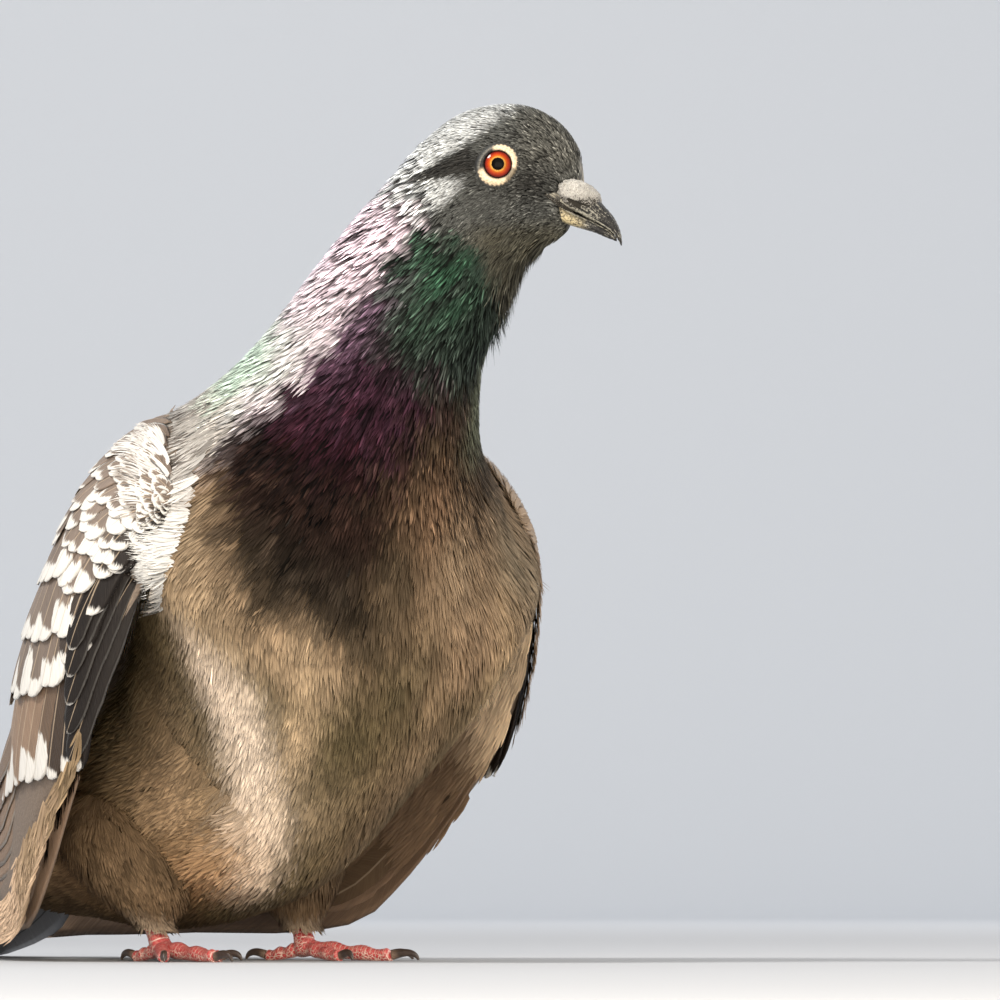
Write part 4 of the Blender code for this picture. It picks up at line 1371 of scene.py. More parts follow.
def row_of(line, count, length, drop, rng, scatter_s=0.09):
    """Roots and tips of a row: its tips lie evenly on a line of (s, share), its roots before them.

    length is in steps of s, and drop is how far a feather sinks in share for each step of s.
    """
    line = np.asarray(line, float)
    steps = np.linalg.norm(np.diff(line, axis=0) * (S_STEP, SHARE_STEP), axis=1)
    way = np.concatenate([[0], np.cumsum(steps)])
    at = np.linspace(0, way[-1], count) + rng.uniform(-0.9, 0.9, count)
    tips = np.stack([np.interp(at, way, line[:, k]) for k in (0, 1)], -1)
    tips[:, 0] += rng.normal(0, scatter_s, count)
    roots = tips - np.array([1.0, -drop]) * length
    roots[:, 0] = np.maximum(roots[:, 0], 0.02)
    return roots, tips


def look(colour, tip, fringe, dark, rng, count, spread=0.12, rim=0.0):
    """Values for a row's material, a little different from feather to feather."""
    tone = 1 + rng.uniform(-spread, spread, (count, 1))
    return {"colour": np.asarray(colour) * tone,
            "tip": tip * np.clip(1 + rng.normal(0, 0.36, count), 0.25, 1.8),
            "fringe": fringe + rng.normal(0, 0.35, count), "dark": dark, "rim": rim,
            "feather": rng.uniform(0, 1, count)}

# %% Flight feathers
def flight_feathers(sign, side, paint):
    """Primaries in a curve of their own, and secondaries as a row whose front ones are dark quills in
    painted shade.
    """
    rng = np.random.default_rng(40 + sign)
    surface = wing_outside(sign)
    k = np.arange(10)
    tips = np.stack([10.0 - 0.18 * k - 0.028 * k ** 2, 0.42 + 0.035 * k - 0.0025 * k ** 2], -1)
    roots = np.stack([3.3 + 0.02 * k, 0.03 + 0.035 * k], -1)
    made = vanes(surface, roots, tips, 6.2 - 0.05 * k, (-4.2 + 0.12 * k, -0.9 + 0.30 * k), rng,
                 rounded=0.90, stations=22, roll=0.25, thick=0.3, bow=-0.55 + 0.02 * k)
    sets = [(made, look(BROWN * (0.95 - 0.03 * k[:, None]), 1.2, 1.0, 0.15, rng, 10,
                        rim=np.where(k < 2, 0.05, 0.50)))]
    count = 19
    roots, tips = row_of(SECONDARY_TIPS, count, 2.9, 0.11, rng, 0.02)
    share = np.linspace(0, 1, count)
    made = vanes(surface, roots, tips, 5.6, (-3.4, -0.7 + 0.25 * share), rng, rounded=0.90,
                 stations=20, roll=0.35, thick=0.3)
    tip = 6.0 * (0.35 + 0.65 * soft(share, 0.06, 0.22))
    # Dark quills and painted shade: the front secondaries are dark, turning to brown behind.
    colour = laid_over(DARK_QUILL_AND_SHADE, BROWN, soft(share, 0.06, 0.30))
    sets.append((made, look(colour, tip, -0.8, 0.1, rng, count)))
    vane_piece("flight_feathers_" + side + "_vanes", sets, paint, "flight_feathers",
               ["flight_feathers_" + side])

# %% Coverts
def coverts(sign, side, paint):
    """Five dark feathers of the thumb, then the rows of coverts."""
    rng = np.random.default_rng(60 + sign)
    surface = wing_outside(sign)
    k = np.arange(5)
    roots = np.stack([0.9 + 0.05 * k, 0.03 + 0.05 * k], -1)
    tips = np.stack([2.25 + 0.20 * k[::-1], 0.02 + 0.03 * k], -1)
    made = vanes(surface, roots, tips, 3.4, (-2.0 + 0.3 * k, -0.2 + 0.25 * k), rng, rounded=0.8,
                 stations=16, roll=0.2)
    sets = [(made, look(DARK_QUILL_AND_SHADE * 0.8, 0.4, 1.5, 0.1, rng, 5, rim=0.13))]
    for line, count, length, half, heights, tip, fringe in COVERT_ROWS:
        roots, tips = row_of(line, count, length, 0.12, rng)
        share = np.linspace(0, 1, count)
        colour = laid_over(DARK_QUILL_AND_SHADE, GREY_BROWN, soft(share, 0.0, 0.22))
        row_half = half * (1 + rng.uniform(-0.10, 0.10, count))
        rounded = min(0.84, max(0.55, 1 - 0.95 * half / (length * S_STEP)))
        made = vanes(surface, roots, tips, row_half, heights, rng, rounded=rounded, roll=0.25)
        tip_length = tip * (0.35 + 0.65 * soft(share, 0.0, 0.18))
        if sign == LEFT:
            shown = soft(tips[:, 1] + 0.85 * tips[:, 0], 1.75, 2.15)
            tip_length = tip_length * shown
            fringe = fringe * shown - 0.8 * (1 - shown)
            colour = laid_over(colour, LEFT_BROWN, 1 - shown)
        sets.append((made, look(colour, tip_length, fringe, 0.25, rng, count)))
    vane_piece("coverts_" + side, sets, paint, "wing_coverts", ["wing_" + side])

# %% [markdown]
# ### Where body and wing meet
# Tufts hide the edge of the folded wing: a white comb down its front, feathers of the neck over the
# shoulder, of the breast over its front and of the flank over its lower edge. All of them are tufts
# on the body's or the wing's own surface that stand a little higher than what they cover.

# %% White comb
COMB_WHITE, COMB_GREY = (0.68, 0.67, 0.645), (0.42, 0.39, 0.36)
# Where the comb's feathers are rooted: spine place and degrees
COMB = np.array([(12.15, 264.0), (12.5, 256.5), (12.9, 252.5), (13.3, 253.5), (13.7, 256.0)])


def bake_on_wing(side, s, around):
    return on_skin_map("wing_" + side, s / 7, around)


def shoulder_comb(paint):
    """A white comb of parted barbs down the right wing's front edge, over the side of the body."""
    rng = np.random.default_rng(79)
    count = 430
    way = rng.uniform(0, len(COMB) - 1, count)
    t, degrees = (np.interp(way, np.arange(len(COMB)), COMB[:, k]) for k in (0, 1))
    theta = np.radians(degrees + rng.uniform(-2, 6, count))
    lift = np.interp(t, [12.2, 12.9, 13.3, 13.7], [1.6, 2.4, 4.2, 6.0]) * rng.uniform(0.8, 1.1, count)
    grey = 1 - soft(t + 0.1 * mottle(body(t, theta), 4, 54), 12.1, 12.6)
    tuft_piece("shoulder_comb_right", body, t, theta, (rng.uniform(6.0, 10.0, count), 1.8, 0.2), rng,
               laid_over(COMB_WHITE, COMB_GREY, grey), bake_on_body(t, theta),
               paint, "wing_coverts", blades=3, stations=5, lift=lift, thick=0.12, ragged=0.3,
               cup=0.1, curl=0.5, heading=0.75 + rng.normal(0, 0.22, count))

# %% Flank and front covers
FLANK_SAND, FLANK_EARTH, FRONT_EDGE = (0.66, 0.47, 0.32), (0.24, 0.17, 0.10), (0.30, 0.255, 0.21)


def flank_cover(paint):
    """Feathers of the flank that lie over the lower edge of the folded right wing."""
    rng = np.random.default_rng(82)
    surface = wing_outside(RIGHT)
    s, share = scatter(surface, (2.6, 6.6), (0.02, 0.16), 2.0, 1.9, rng)
    keep = (share < 0.03 + 0.06 * soft(s, 3.0, 5.6)) & (surface(s, share, 0.0)[:, 2] > 6.5)
    s, share = s[keep], share[keep]
    here = surface(s, share, 0.0)
    height = here[:, 2] + 9 * mottle(here, 14, 44)
    colours = laid_over(FLANK_SAND, FLANK_EARTH, soft(height, 20, 46))
    tuft_piece("flank_cover_right", surface, s, share, (rng.uniform(9, 14, len(s)), 3.4, 0.8), rng,
               speckled(colours, here, 0.25, 6, 43), bake_on_wing("right", s, share * 0.5 + 0.1),
               paint, "body_feathers", blades=6, stations=4, lift=0.9, thick=0.10, ragged=0.3,
               heading=rng.normal(-0.50, 0.16, len(s)))


def front_cover(paint):
    """Breast feathers that lie over the front edge of the left wing."""
    rng = np.random.default_rng(85)
    surface = wing_outside(LEFT)
    s, share = scatter(surface, (0.02, 3.4), (0.0, 1.0), 2.2, 2.2, rng)
    limit = np.maximum(0.30 - 0.11 * s, 2.15 - 0.85 * s) + 0.03 * np.sin(s * 9)
    s, share, limit = (x[share < limit] for x in (s, share, limit))
    colours = speckled(np.array(BREAST_BROWN), surface(s, share, 0.0), 0.25, 8, 45)
    edge = soft(share - limit, -0.25, 0.0) * soft(share, 0.2, 0.5)
    tuft_piece("front_cover_left", surface, s, share, (8.0, 3.2, 0.8), rng,
               laid_over(colours, FRONT_EDGE, edge),
               bake_on_wing("left", s, share * 0.5 + 0.1), paint, "body_feathers", blades=6,
               stations=3, lift=1.0, thick=0.10, ragged=0.25, heading=rng.normal(0.08, 0.12, len(s)))

# %% Shoulder
FLOW_GREY, FLOW_WHITE, FLOW_SPOTS = (0.27, 0.25, 0.225), (0.64, 0.62, 0.59), (0.085, 0.068, 0.056)
COVER_GREY, COVER_WHITE, COVER_LEFT = (0.25, 0.215, 0.185), (0.64, 0.615, 0.585), (0.30, 0.25, 0.21)


def on_side(theta, sign):
    """An angle of the bird's right side, or its mirror image on the left."""
    return theta if sign == RIGHT else TURN - theta


def shoulder_flow(sign, side, paint):
    """Pale feathers that flow from the base of the neck over the wing's front and upper edge."""
    rng = np.random.default_rng(88 + sign)
    t, theta = scatter(body, (11.45, 12.35), np.radians((264, 322)), 2.0, 1.9, rng)
    keep = t > 11.5 + 0.045 * np.clip(276 - np.degrees(theta), 0, 20)
    t, theta = t[keep], theta[keep]
    lift = (0.6 + 2.4 * soft(t, 11.4, 12.2)) * rng.uniform(0.85, 1.1, len(t))
    angle = on_side(theta, sign)
    here = body(t, angle)
    colours = laid_over(FLOW_GREY, FLOW_WHITE,
                        soft(t + 0.12 * mottle(here, 8, 53), 11.5, 12.1))
    colours = laid_over(colours, FLOW_SPOTS, soft(mottle(here, 6, 52), -0.2, 0.7) * 0.9)
    if sign == LEFT:
        colours = laid_over(colours, BREAST_BROWN, soft(theta, 5.3, 4.9))
    tuft_piece("shoulder_flow_" + side, body, t, angle, (9.0, 2.8, 0.2), rng, colours,
               bake_on_body(t, angle), paint, "wing_coverts", blades=5, stations=4, lift=lift,
               thick=0.12, ragged=0.25, heading=rng.normal(0, 0.12, len(t)))


def shoulder_cover(sign, side, paint):
    """Loose grey and white feathers that run from the neck over the front of the wing."""
    rng = np.random.default_rng(85 + sign)
    surface = wing_outside(sign)
    s, share = scatter(surface, (0.12, 1.10), (0.25, 0.90), 2.2, 2.0, rng)
    keep = share > 0.30 + 0.42 * s
    s, share = s[keep], share[keep]
    pale = soft(mottle(surface(s, share, 0.0), 5, 51), -0.9, 0.3)
    colours = laid_over(COVER_GREY, COVER_WHITE, pale)
    if sign == LEFT:
        colours = np.zeros((len(s), 3)) + COVER_LEFT
    tuft_piece("shoulder_cover_" + side, surface, s, share, (9.0, 2.6, 0.4), rng, colours,
               bake_on_wing(side, s, share * 0.5), paint, "wing_coverts", blades=6, stations=4,
               lift=2.0, thick=0.15, ragged=0.2, heading=rng.normal(-0.10, 0.12, len(s)))

# %% [markdown]
# ### Under the wing
# The inside of a folded wing shows below the flank: soft tan lining in front, and behind it the brown
# undersides of the quills. Both are made as on the outside, on the wing's inner surface.

# %% Lining of the wing
LINING_TAN = np.array((0.97, 0.74, 0.50))
LINING_BROWN, QUILL_BROWN = (0.21, 0.14, 0.088), (0.165, 0.110, 0.066)


def wing_lining(sign, side, paint, vane_paint):
    rng = np.random.default_rng(90 + sign)
    surface = wing_inside(sign)
    s, share = scatter(surface, (0.5, 4.6), (0.04, 0.94), 4.2, 3.6, rng)
    colours = speckled(LINING_TAN, surface(s, share, 0.0), 0.12, 12, 12)
    tuft_piece("wing_lining_" + side, surface, s, share, (11.0, 4.8, 1.4), rng,
               laid_over(colours, LINING_BROWN, soft(s, 2.2, 3.4)),
               bake_on_wing(side, s, 0.5 + share * 0.5), paint, "wing_coverts", blades=6,
               stations=3, lift=0.3, thick=0.14, ragged=0.12)
    k = np.arange(9)
    tips = np.stack([6.9 - 0.16 * k, 0.14 + 0.078 * k], -1)
    roots = np.stack([3.2 - 0.08 * k, 0.12 + 0.092 * k], -1)
    made = vanes(surface, roots, tips, 5.6, (-0.9, -0.2), rng, rounded=0.9, stations=18,
                 roll=-0.25, thick=0.25, bow=-0.05)
    sets = [(made, look(QUILL_BROWN, 0.0, 0.0, 0.1, rng, 9, rim=0.3))]
    vane_piece("quill_undersides_" + side, sets, vane_paint, "flight_feathers")

# %% Both wings
vane_paint = vane_material("vanes_with_pale_tips")
quill_paint = vane_material("flight_feather_vanes", roughness=0.42)
edge_paint = coat_material("white_edge_feathers", 8.0, 0.3, 0.02, 0.0, 0.20)
lining_paint = coat_material("wing_lining_feathers", 14.0, 0.3, 0.0, 0.0, 0.10)
for side, sign in SIDES.items():
    flight_feathers(sign, side, quill_paint)
    coverts(sign, side, vane_paint)
    if sign == RIGHT:
        shoulder_comb(edge_paint)
        flank_cover(body_coat)
    else:
        front_cover(body_coat)
    shoulder_flow(sign, side, edge_paint)
    shoulder_cover(sign, side, edge_paint)
    wing_lining(sign, side, lining_paint, quill_paint)

# %% [markdown]
# ### Feathers of the back
# Between the folded wings the back is covered by rows of brown mantle feathers, greyer towards the
# rump. It is bridged by a saddle between the wings' upper edges, so that the rows close the gap
# wherever the wings lie.

# %% Feathers of the back
def saddle(s, across, lift):
    """The back between the folded wings: across goes from -1 at the right wing's edge to 1 at the left.

    P = edge(s) with x times across, raised by crown (1 - across^2), and lifted along (0, 0.7, 0.7).
    """
    s, across, lift = np.broadcast_arrays(np.asarray(s, float), across, lift)
    edge = read_table(WING, s)[..., 3:6]
    crown = np.interp(s, [1.0, 2.5, 5.0, 9.0], [5.0, 2.5, 1.5, 1.0]) * (1 - across ** 2)
    high = 0.7 * (crown + lift)
    return np.stack([edge[..., 0] * across, edge[..., 1] + high, edge[..., 2] + high], -1)


def back_feathers(material):
    """Rows of the mantle and, where the wings meet, of the long inner feathers over the rump."""
    rng = np.random.default_rng(95)
    sets = []
    for tip in np.arange(8.7, 2.6, -0.46):
        wide = 2 * np.interp(tip, np.arange(len(WING)), WING[:, 3])
        count = max(4, int(wide / 5.0))
        across = np.linspace(-1.05, 1.05, count) + rng.uniform(-0.5, 0.5, count) / count
        tips = np.stack([tip + rng.normal(0, 0.05, count), across], -1)
        roots = np.stack([np.maximum(tips[:, 0] - 1.35, 1.6), across * 0.92], -1)
        made = vanes(saddle, roots, tips, 4.6, (-3.4 - 0.08 * tip, 1.0 - 0.12 * tip), rng, rounded=0.78,
                     stations=12, roll=0.0)
        grey = GREY_BROWN + (np.array((0.30, 0.29, 0.29)) - GREY_BROWN) * min(1, max(0, (tip - 4) / 3))
        sets.append((made, look(grey, 1.1, 1.8, 0.25, rng, count)))
    vane_piece("back_feathers", sets, material, "wing_coverts")


back_feathers(vane_paint)

# %% [markdown]
# ## Tail
# The folded tail is a narrow fan of twelve grey feathers, the middle pair on top, with a dark band
# before the end. They are vanes like those of the wing, on the tail's own surface, and only their
# material differs, since it carries a band and no pale tip.

# %% Shape of the tail
# The folded tail: y, z of the underside, half width and thickness, in mm.
TAIL = np.array([
    (79.3, 12.5, 14.0, 17.5),
    (90.0, 10.0, 15.0, 12.5),
    (104.0, 7.0, 17.0, 7.0),
    (122.0, 3.5, 19.5, 4.0),
    (140.0, 0.8, 21.5, 2.8),
    (156.0, 0.0, 22.8, 2.2),
    (172.0, 0.0, 23.5, 1.8),
], float)


def tail_top(place, share, lift):
    """The tail's upper side: place along its table, share from its right edge to its left one.

    z = underside + thickness (0.55 + 0.45 sqrt(1 - (2 share - 1)^2)) + lift
    """
    place, share, lift = np.broadcast_arrays(np.asarray(place, float), share, lift)
    row = read_table(TAIL, place)
    x = row[..., 2] * (2 * share - 1)
    crown = np.sqrt(np.clip(1 - (2 * share - 1) ** 2, 0, 1))
    z = row[..., 1] + row[..., 3] * (0.55 + 0.45 * crown) + lift
    return np.stack([x, row[..., 0], z], -1)


print("the tail is", 2 * TAIL[-1, 2], "mm wide at its end")

# %% Tail feathers
def tail_feathers(material):
    """Twelve feathers in a narrow fan, the middle pair on top, with a dark band near the end."""
    rng = np.random.default_rng(101)
    k = np.array([0, 11, 1, 10, 2, 9, 3, 8, 4, 7, 5, 6])
    place = k / 11
    rise = np.arange(12) / 11
    roots = np.stack([np.full(12, 0.1), 0.25 + 0.5 * place], -1)
    tips = np.stack([5.97 - 0.10 * np.abs(place - 0.5) * 2, 0.14 + 0.72 * place], -1)
    made = vanes(tail_top, roots, tips, 8.6, (-6.5 + 4.5 * rise, -0.1 + 0.9 * rise), rng,
                 rounded=0.90, stations=24, roll=0.0, thick=0.3, camber=0.25, radius=90)
    sets = [(made, look(np.array((0.235, 0.24, 0.255)), 0.0, 0.0, 0.1, rng, 12, 0.06))]
    vane_piece("tail_vanes", sets, material, "tail_feathers", ["tail"])

# %% Material of the tail
def tail_material():
    p = Paint("tail_vanes_with_band", Roughness=0.5, Specular_IOR_Level=0.25)
    across, along, _, _, _, barbs = barbs_of(p, 1.5)
    band = (along + 0.05 * (barbs - 0.5)).step(0.74, 0.80) * (1.0 - along.step(0.955, 0.985))
    line = 1.0 - (across - 0.5).size().step(0.008, 0.026)
    colour = p.mix(band, p.colour("plumage"), (0.045, 0.045, 0.05))
    colour = p.mix(line * 0.8, colour, (0.03, 0.03, 0.032))
    p.wear(Base_Color=p.scaled(colour, 0.75 + 0.5 * barbs))
    p.bumps(barbs, 0.00018)
    return p.material


tail_feathers(tail_material())

# %% [markdown]
# ## Eyes
# A pigeon's iris glows orange, redder outwards, round a black pupil with a yellow ring. It could be a
# dish behind a clear dome, but at this size one glossy ball with the iris painted on it, by distance
# from its axis, looks the same and survives an export. Fine rays run outwards through the colour.

# %% Eyes
def eye_ball(sign, side, material):
    """P = C + axis R cos(a) + (ahead cos(b) + above sin(b)) R sin(a), from the front to the back."""
    a = np.concatenate([np.linspace(0.03, 0.8, 30), np.linspace(0.9, 3.05, 16)])
    b = round_angles(72)
    axis = EYE_AXIS[sign]
    ahead = unit(FORWARD - axis * (FORWARD @ axis))
    above = np.cross(axis, ahead) * sign
    ring = ahead * np.cos(b)[:, None] + above * np.sin(b)[:, None]
    grid = EYE_RADIUS * (np.cos(a)[:, None, None] * axis + np.sin(a)[:, None, None] * ring)
    points, faces = closed(grid)
    points[-2:] = EYE_RADIUS * np.stack([axis, -axis])
    reach = np.where(a < math.pi / 2, EYE_RADIUS * np.sin(a), 2 * EYE_RADIUS)
    floats = {"reach": np.append(np.repeat(reach, len(b)), [0.0, 2 * EYE_RADIUS]),
              "ray_x": np.append(np.tile(np.cos(b), len(a)), [0.0, 0.0]),
              "ray_y": np.append(np.tile(np.sin(b), len(a)), [0.0, 0.0])}
    make_piece("eyeball_" + side, points + EYE_CENTRE[sign], faces, material, "iris",
               ["eye_" + side], floats=floats)

# %% Material of the eyes
def eye_material():
    p = Paint("eyeball", Roughness=0.3, Specular_IOR_Level=0.02, Coat_Roughness=0.02)
    reach, x, y = p.value("reach"), p.value("ray_x"), p.value("ray_y")
    rays = p.noise(1.0, p.joined(x * 10.0, y * 10.0, reach * 0.5), detail=3)
    patches = p.noise(1.0, p.joined(x * 1.6, y * 1.6, reach * 0.8), detail=2)
    wavy = (reach + 0.22 * (rays - 0.5)) / IRIS
    stops = [(0.0, (0.001, 0.001, 0.001)), (0.450, (0.002, 0.002, 0.002)), (0.480, (0.50, 0.26, 0.06)),
             (0.540, (0.56, 0.25, 0.035)), (0.60, (0.46, 0.095, 0.007)), (0.74, (0.36, 0.032, 0.004)),
             (0.88, (0.17, 0.010, 0.003)), (0.97, (0.008, 0.004, 0.004))]
    iris = p.node("ShaderNodeValToRGB", {"stops": stops}, {0: wavy})
    p.wear(Base_Color=p.scaled(iris, 0.25 + 0.65 * rays + 0.75 * patches),
           Coat_Weight=0.03 + 0.5 * (reach / IRIS).step(0.44, 0.56))
    return p.material


ball_paint = eye_material()
for side, sign in SIDES.items():
    eye_ball(sign, side, ball_paint)

# %% [markdown]
# ## Bill and cere
# The bill is two sheaths of horn with a hooked tip, streaked and flaking; the cere is a pair of soft
# chalky swellings over the nostrils. Both bills are lofts: each ring goes from a place on the top
# line to a place on the lower line, which lets the rings fan round the hook without crossing.

# %% Bill
# Rings of the two bills, in mm from the spine's first place: top line forward and up, lower line
# forward and up, half width.
UPPER_BILL = np.array([
    (0.3, 6.2, -3.6, 0.6, 5.0),
    (2.2, 5.8, -0.9, -1.1, 4.6),
    (4.6, 3.6, 2.1, -2.6, 3.9),
    (6.3, 1.0, 4.2, -3.7, 3.2),
    (8.0, -0.9, 6.1, -4.6, 2.6),
    (9.4, -2.7, 7.9, -5.7, 2.1),
    (10.6, -5.1, 9.4, -6.9, 1.5),
    (11.2, -7.3, 10.4, -8.2, 0.8),
    (11.3, -9.2, 11.0, -9.5, 0.4),
], float)
LOWER_BILL = np.array([
    (-3.4, 0.5, -2.6, -3.9, 4.8),
    (-0.8, -1.1, -0.3, -4.7, 4.2),
    (2.2, -2.5, 2.3, -5.5, 3.5),
    (4.4, -3.5, 4.6, -6.2, 2.7),
    (6.4, -4.6, 6.7, -7.1, 2.0),
    (8.2, -5.7, 8.6, -7.9, 1.3),
    (9.9, -7.4, 10.0, -8.4, 0.5),
], float)
BILL_RINGS, BILL_COLUMNS = 90, 72


def bill_half(name, rows, material):
    """P = middle + half (top - low) cos(a) + left half width sin(a), with small flakes raised."""
    row = read_table(rows, np.linspace(0, len(rows) - 1, BILL_RINGS))
    a = round_angles(BILL_COLUMNS)[None]
    boxy = np.interp(np.linspace(0, 1, BILL_RINGS), [0, 0.45, 1], [0.55, 0.75, 0.95])[:, None]
    c, s = (np.sign(x) * np.abs(x) ** boxy for x in (np.cos(a), np.sin(a)))
    ahead = (row[:, :1] + row[:, 2:3]) / 2 + (row[:, :1] - row[:, 2:3]) / 2 * c
    above = (row[:, 1:2] + row[:, 3:4]) / 2 + (row[:, 1:2] - row[:, 3:4]) / 2 * c
    aside = row[:, 4:5] * s
    grid = head_point(ahead[..., None], above[..., None], aside[..., None])
    flakes = mottle(grid, 1.3, 31) + 0.6 * mottle(grid, 0.7, 32)
    out = unit(grid - grid.mean(1, keepdims=True))
    grid = grid + out * (0.05 * np.clip(flakes, -1, 1) - 0.05)[..., None]
    along = np.linspace(0, 1, BILL_RINGS)
    floats = {"along": np.append(np.repeat(along, BILL_COLUMNS), [0.0, 1.0]),
              "down": np.append((1 - c).ravel() / 2, [0.5, 0.5])}
    make_piece(name + "_horn", *closed(grid), material, "horn", [name], floats=floats)

# %% Horn of the bill
def bill_material(name, root_colour, root_share, mouth):
    """Grey-black horn with pale lengthwise flakes and a pale cutting edge beside a painted shadow along
    the mouth line.

    down goes from 0 on a bill's top line to 1 on its lower line, and mouth is its value at the mouth.
    """
    p = Paint(name, Roughness=0.45, Specular_IOR_Level=0.2)
    along, down = p.value("along"), p.value("down")
    streaks = p.noise(1.0, p.joined(along * 4.0, down * 12.0, 3.0), detail=4, roughness=0.65)
    flakes = p.noise(1700, detail=3, roughness=0.7)
    pale = (0.60 * streaks + 0.40 * flakes + 0.05 * (1.0 - along)).step(0.545, 0.62)
    colour = p.mix(flakes, (0.006, 0.006, 0.007), (0.034, 0.033, 0.032))
    colour = p.mix(pale * 0.85, colour, (0.36, 0.345, 0.29))
    root = 1.0 - (along + 0.4 * (streaks - 0.5)).step(root_share * 0.4, root_share)
    root = root * flakes.step(0.3, 0.6)
    colour = p.mix(root * (down * 1.4).clamped(), colour, root_colour)
    from_mouth = (down - mouth).size()
    edge = (1.0 - (from_mouth - 0.13).size().step(0.02, 0.07)) * flakes.step(0.35, 0.55) * 0.75
    colour = p.mix(edge, colour, (0.50, 0.48, 0.40))
    # Painted shadow: a thin dark line along the mouth, where the two bills meet.
    colour = p.mix(1.0 - from_mouth.step(0.02, 0.06), colour, (0.006, 0.005, 0.005))
    p.wear(Base_Color=colour)
    p.bumps(0.5 * streaks + 0.5 * flakes, 0.00018)
    return p.material


bill_half("bill_upper", UPPER_BILL, bill_material("upper_bill_horn", (0.40, 0.37, 0.30), 0.12, 1.0))
bill_half("bill_lower", LOWER_BILL, bill_material("lower_bill_horn", (0.60, 0.50, 0.29), 0.45, 0.0))

# %% [markdown]
# ### Corner of the mouth
# Two scaly ridges of bare skin run from the corner of the mouth to the bill. They follow the face, so
# they are small tubes along a path on its surface, thinner towards the corner.

# %% Corner of the mouth
LIP_PATH = np.array([(-6.5, 2.9), (-5.0, 1.8), (-3.6, 0.7), (-2.0, -0.4), (-0.2, -1.5)])


def face_side(ahead, above):
    """How far aside the face lies at places ahead and above, from the nearest of a fine grid."""
    t, theta = np.meshgrid(np.linspace(0, 5, 260), np.linspace(0.2, 2.9, 260), indexing="ij")
    off = (body(t, theta) - SPINE[0, :3]).reshape(-1, 3)
    gap = (off @ FORWARD - ahead[:, None]) ** 2 + (off[:, 2] - above[:, None]) ** 2
    return (off @ HEAD_LEFT)[gap.argmin(1)]


def lips(material):
    """Two scaly ridges on each side, from the corner of the mouth to the bill.

    P = C + r (up sin(a) + 0.7 out cos(a)), with r from 0.10 mm at the corner to 0.48 mm at the bill.
    """
    way = np.linspace(0, len(LIP_PATH) - 1, 70)
    ahead, above = read_table(LIP_PATH, way).T
    aside = face_side(ahead, above)
    aside = np.convolve(np.pad(aside, 8, mode="edge"), np.ones(17) / 17, "valid")
    a = round_angles(20)[None]
    radius = np.interp(way, [0, 1, 4], [0.10, 0.28, 0.48])[:, None]
    ridges = []
    for sign in (LEFT, RIGHT):
        for rise in (0.36, -0.36):
            radius_here = radius * (1 + 0.12 * np.sin(way * 21 + rise)[:, None])
            centre = head_point(ahead[:, None], above[:, None] + rise, sign * (aside[:, None] - 0.1))
            centre = centre.reshape(len(way), 3)
            grid = (centre[:, None] + UP * (radius_here * np.sin(a))[..., None]
                    + HEAD_LEFT * sign * (0.7 * radius_here * np.cos(a))[..., None])
            ridges.append(closed(grid))
    points, faces = gathered(ridges)
    make_piece("gape_lips", points, faces, material, "cere",
               floats={"dirt": np.full(len(points), 0.62)})

# %% [markdown]
# ### Cere
# Each swelling over the nostrils is an egg laid aslant over the bill's root, puckered by small waves and
# with a slit below for the nostril. Its skin is chalky and pitted, darker towards its lower front, in the
# slit and in patches of its grain, and white elsewhere.

# %% Cere
CERE_PLACE = (1.1, 2.7, 3.2)      # forward, up and aside, in mm
CERE_TILT, CERE_SPREAD = math.radians(25), math.radians(13)
CERE_HALF = (2.7, 5.3, 3.5)       # half width, half length, half height


def cere_lobe(sign):
    """An egg, P = C + aside w sin(a) cos(b) + along l cos(a) + over h sin(a) sin(b), puckered."""
    a = np.linspace(0.04, math.pi - 0.04, 64)[:, None]
    b = round_angles(72)[None]
    outwards = HEAD_LEFT * sign * math.sin(CERE_SPREAD)
    along = unit(FORWARD * math.cos(CERE_TILT) - UP * math.sin(CERE_TILT) - outwards)
    over = FORWARD * math.sin(CERE_TILT) + UP * math.cos(CERE_TILT)
    x, y, z = np.sin(a) * np.cos(b), np.cos(a) * np.ones_like(b), np.sin(a) * np.sin(b)
    shape = (HEAD_LEFT * (CERE_HALF[0] * x)[..., None] + along * (CERE_HALF[1] * y)[..., None]
             + over * (CERE_HALF[2] * z)[..., None])
    slit = bell(y, 0.25, 0.55) * bell(z, -0.62, 0.12) * (x * sign > 0)
    pucker = 0.06 * mottle(shape, 1.1, 33) + 0.05 * mottle(shape, 0.55, 34)
    shape = shape * (0.975 + pucker / 2.0 - 0.20 * slit)[..., None]
    place = head_point(CERE_PLACE[0], CERE_PLACE[1], sign * CERE_PLACE[2])
    # How much darker the skin is made: more towards its lower front and in the nostril slit.
    dirt = np.append((np.clip(-z * 0.7 + y * 0.5, 0, 1) + slit).ravel(), [1.0, 0.2])
    return closed(shape + place), dirt

# %% Chalk of the cere
def cere_material():
    """Chalky white skin with a fine pitted grain, darker towards its lower front and in patches."""
    p = Paint("chalky_cere", Roughness=0.9, Specular_IOR_Level=0.15)
    grain = p.noise(2600, detail=4, roughness=0.75)
    broad = p.noise(700, detail=2)
    dirt = (p.value("dirt") * 0.68 + 1.7 * (grain - 0.5) + 0.7 * (broad - 0.5)).step(0.14, 0.34)
    colour = p.mix(grain.step(0.3, 0.7), (0.27, 0.255, 0.225), (0.70, 0.68, 0.64))
    p.wear(Base_Color=p.mix(dirt, colour, (0.040, 0.036, 0.030)))
    p.bumps(grain, 0.0004)
    return p.material


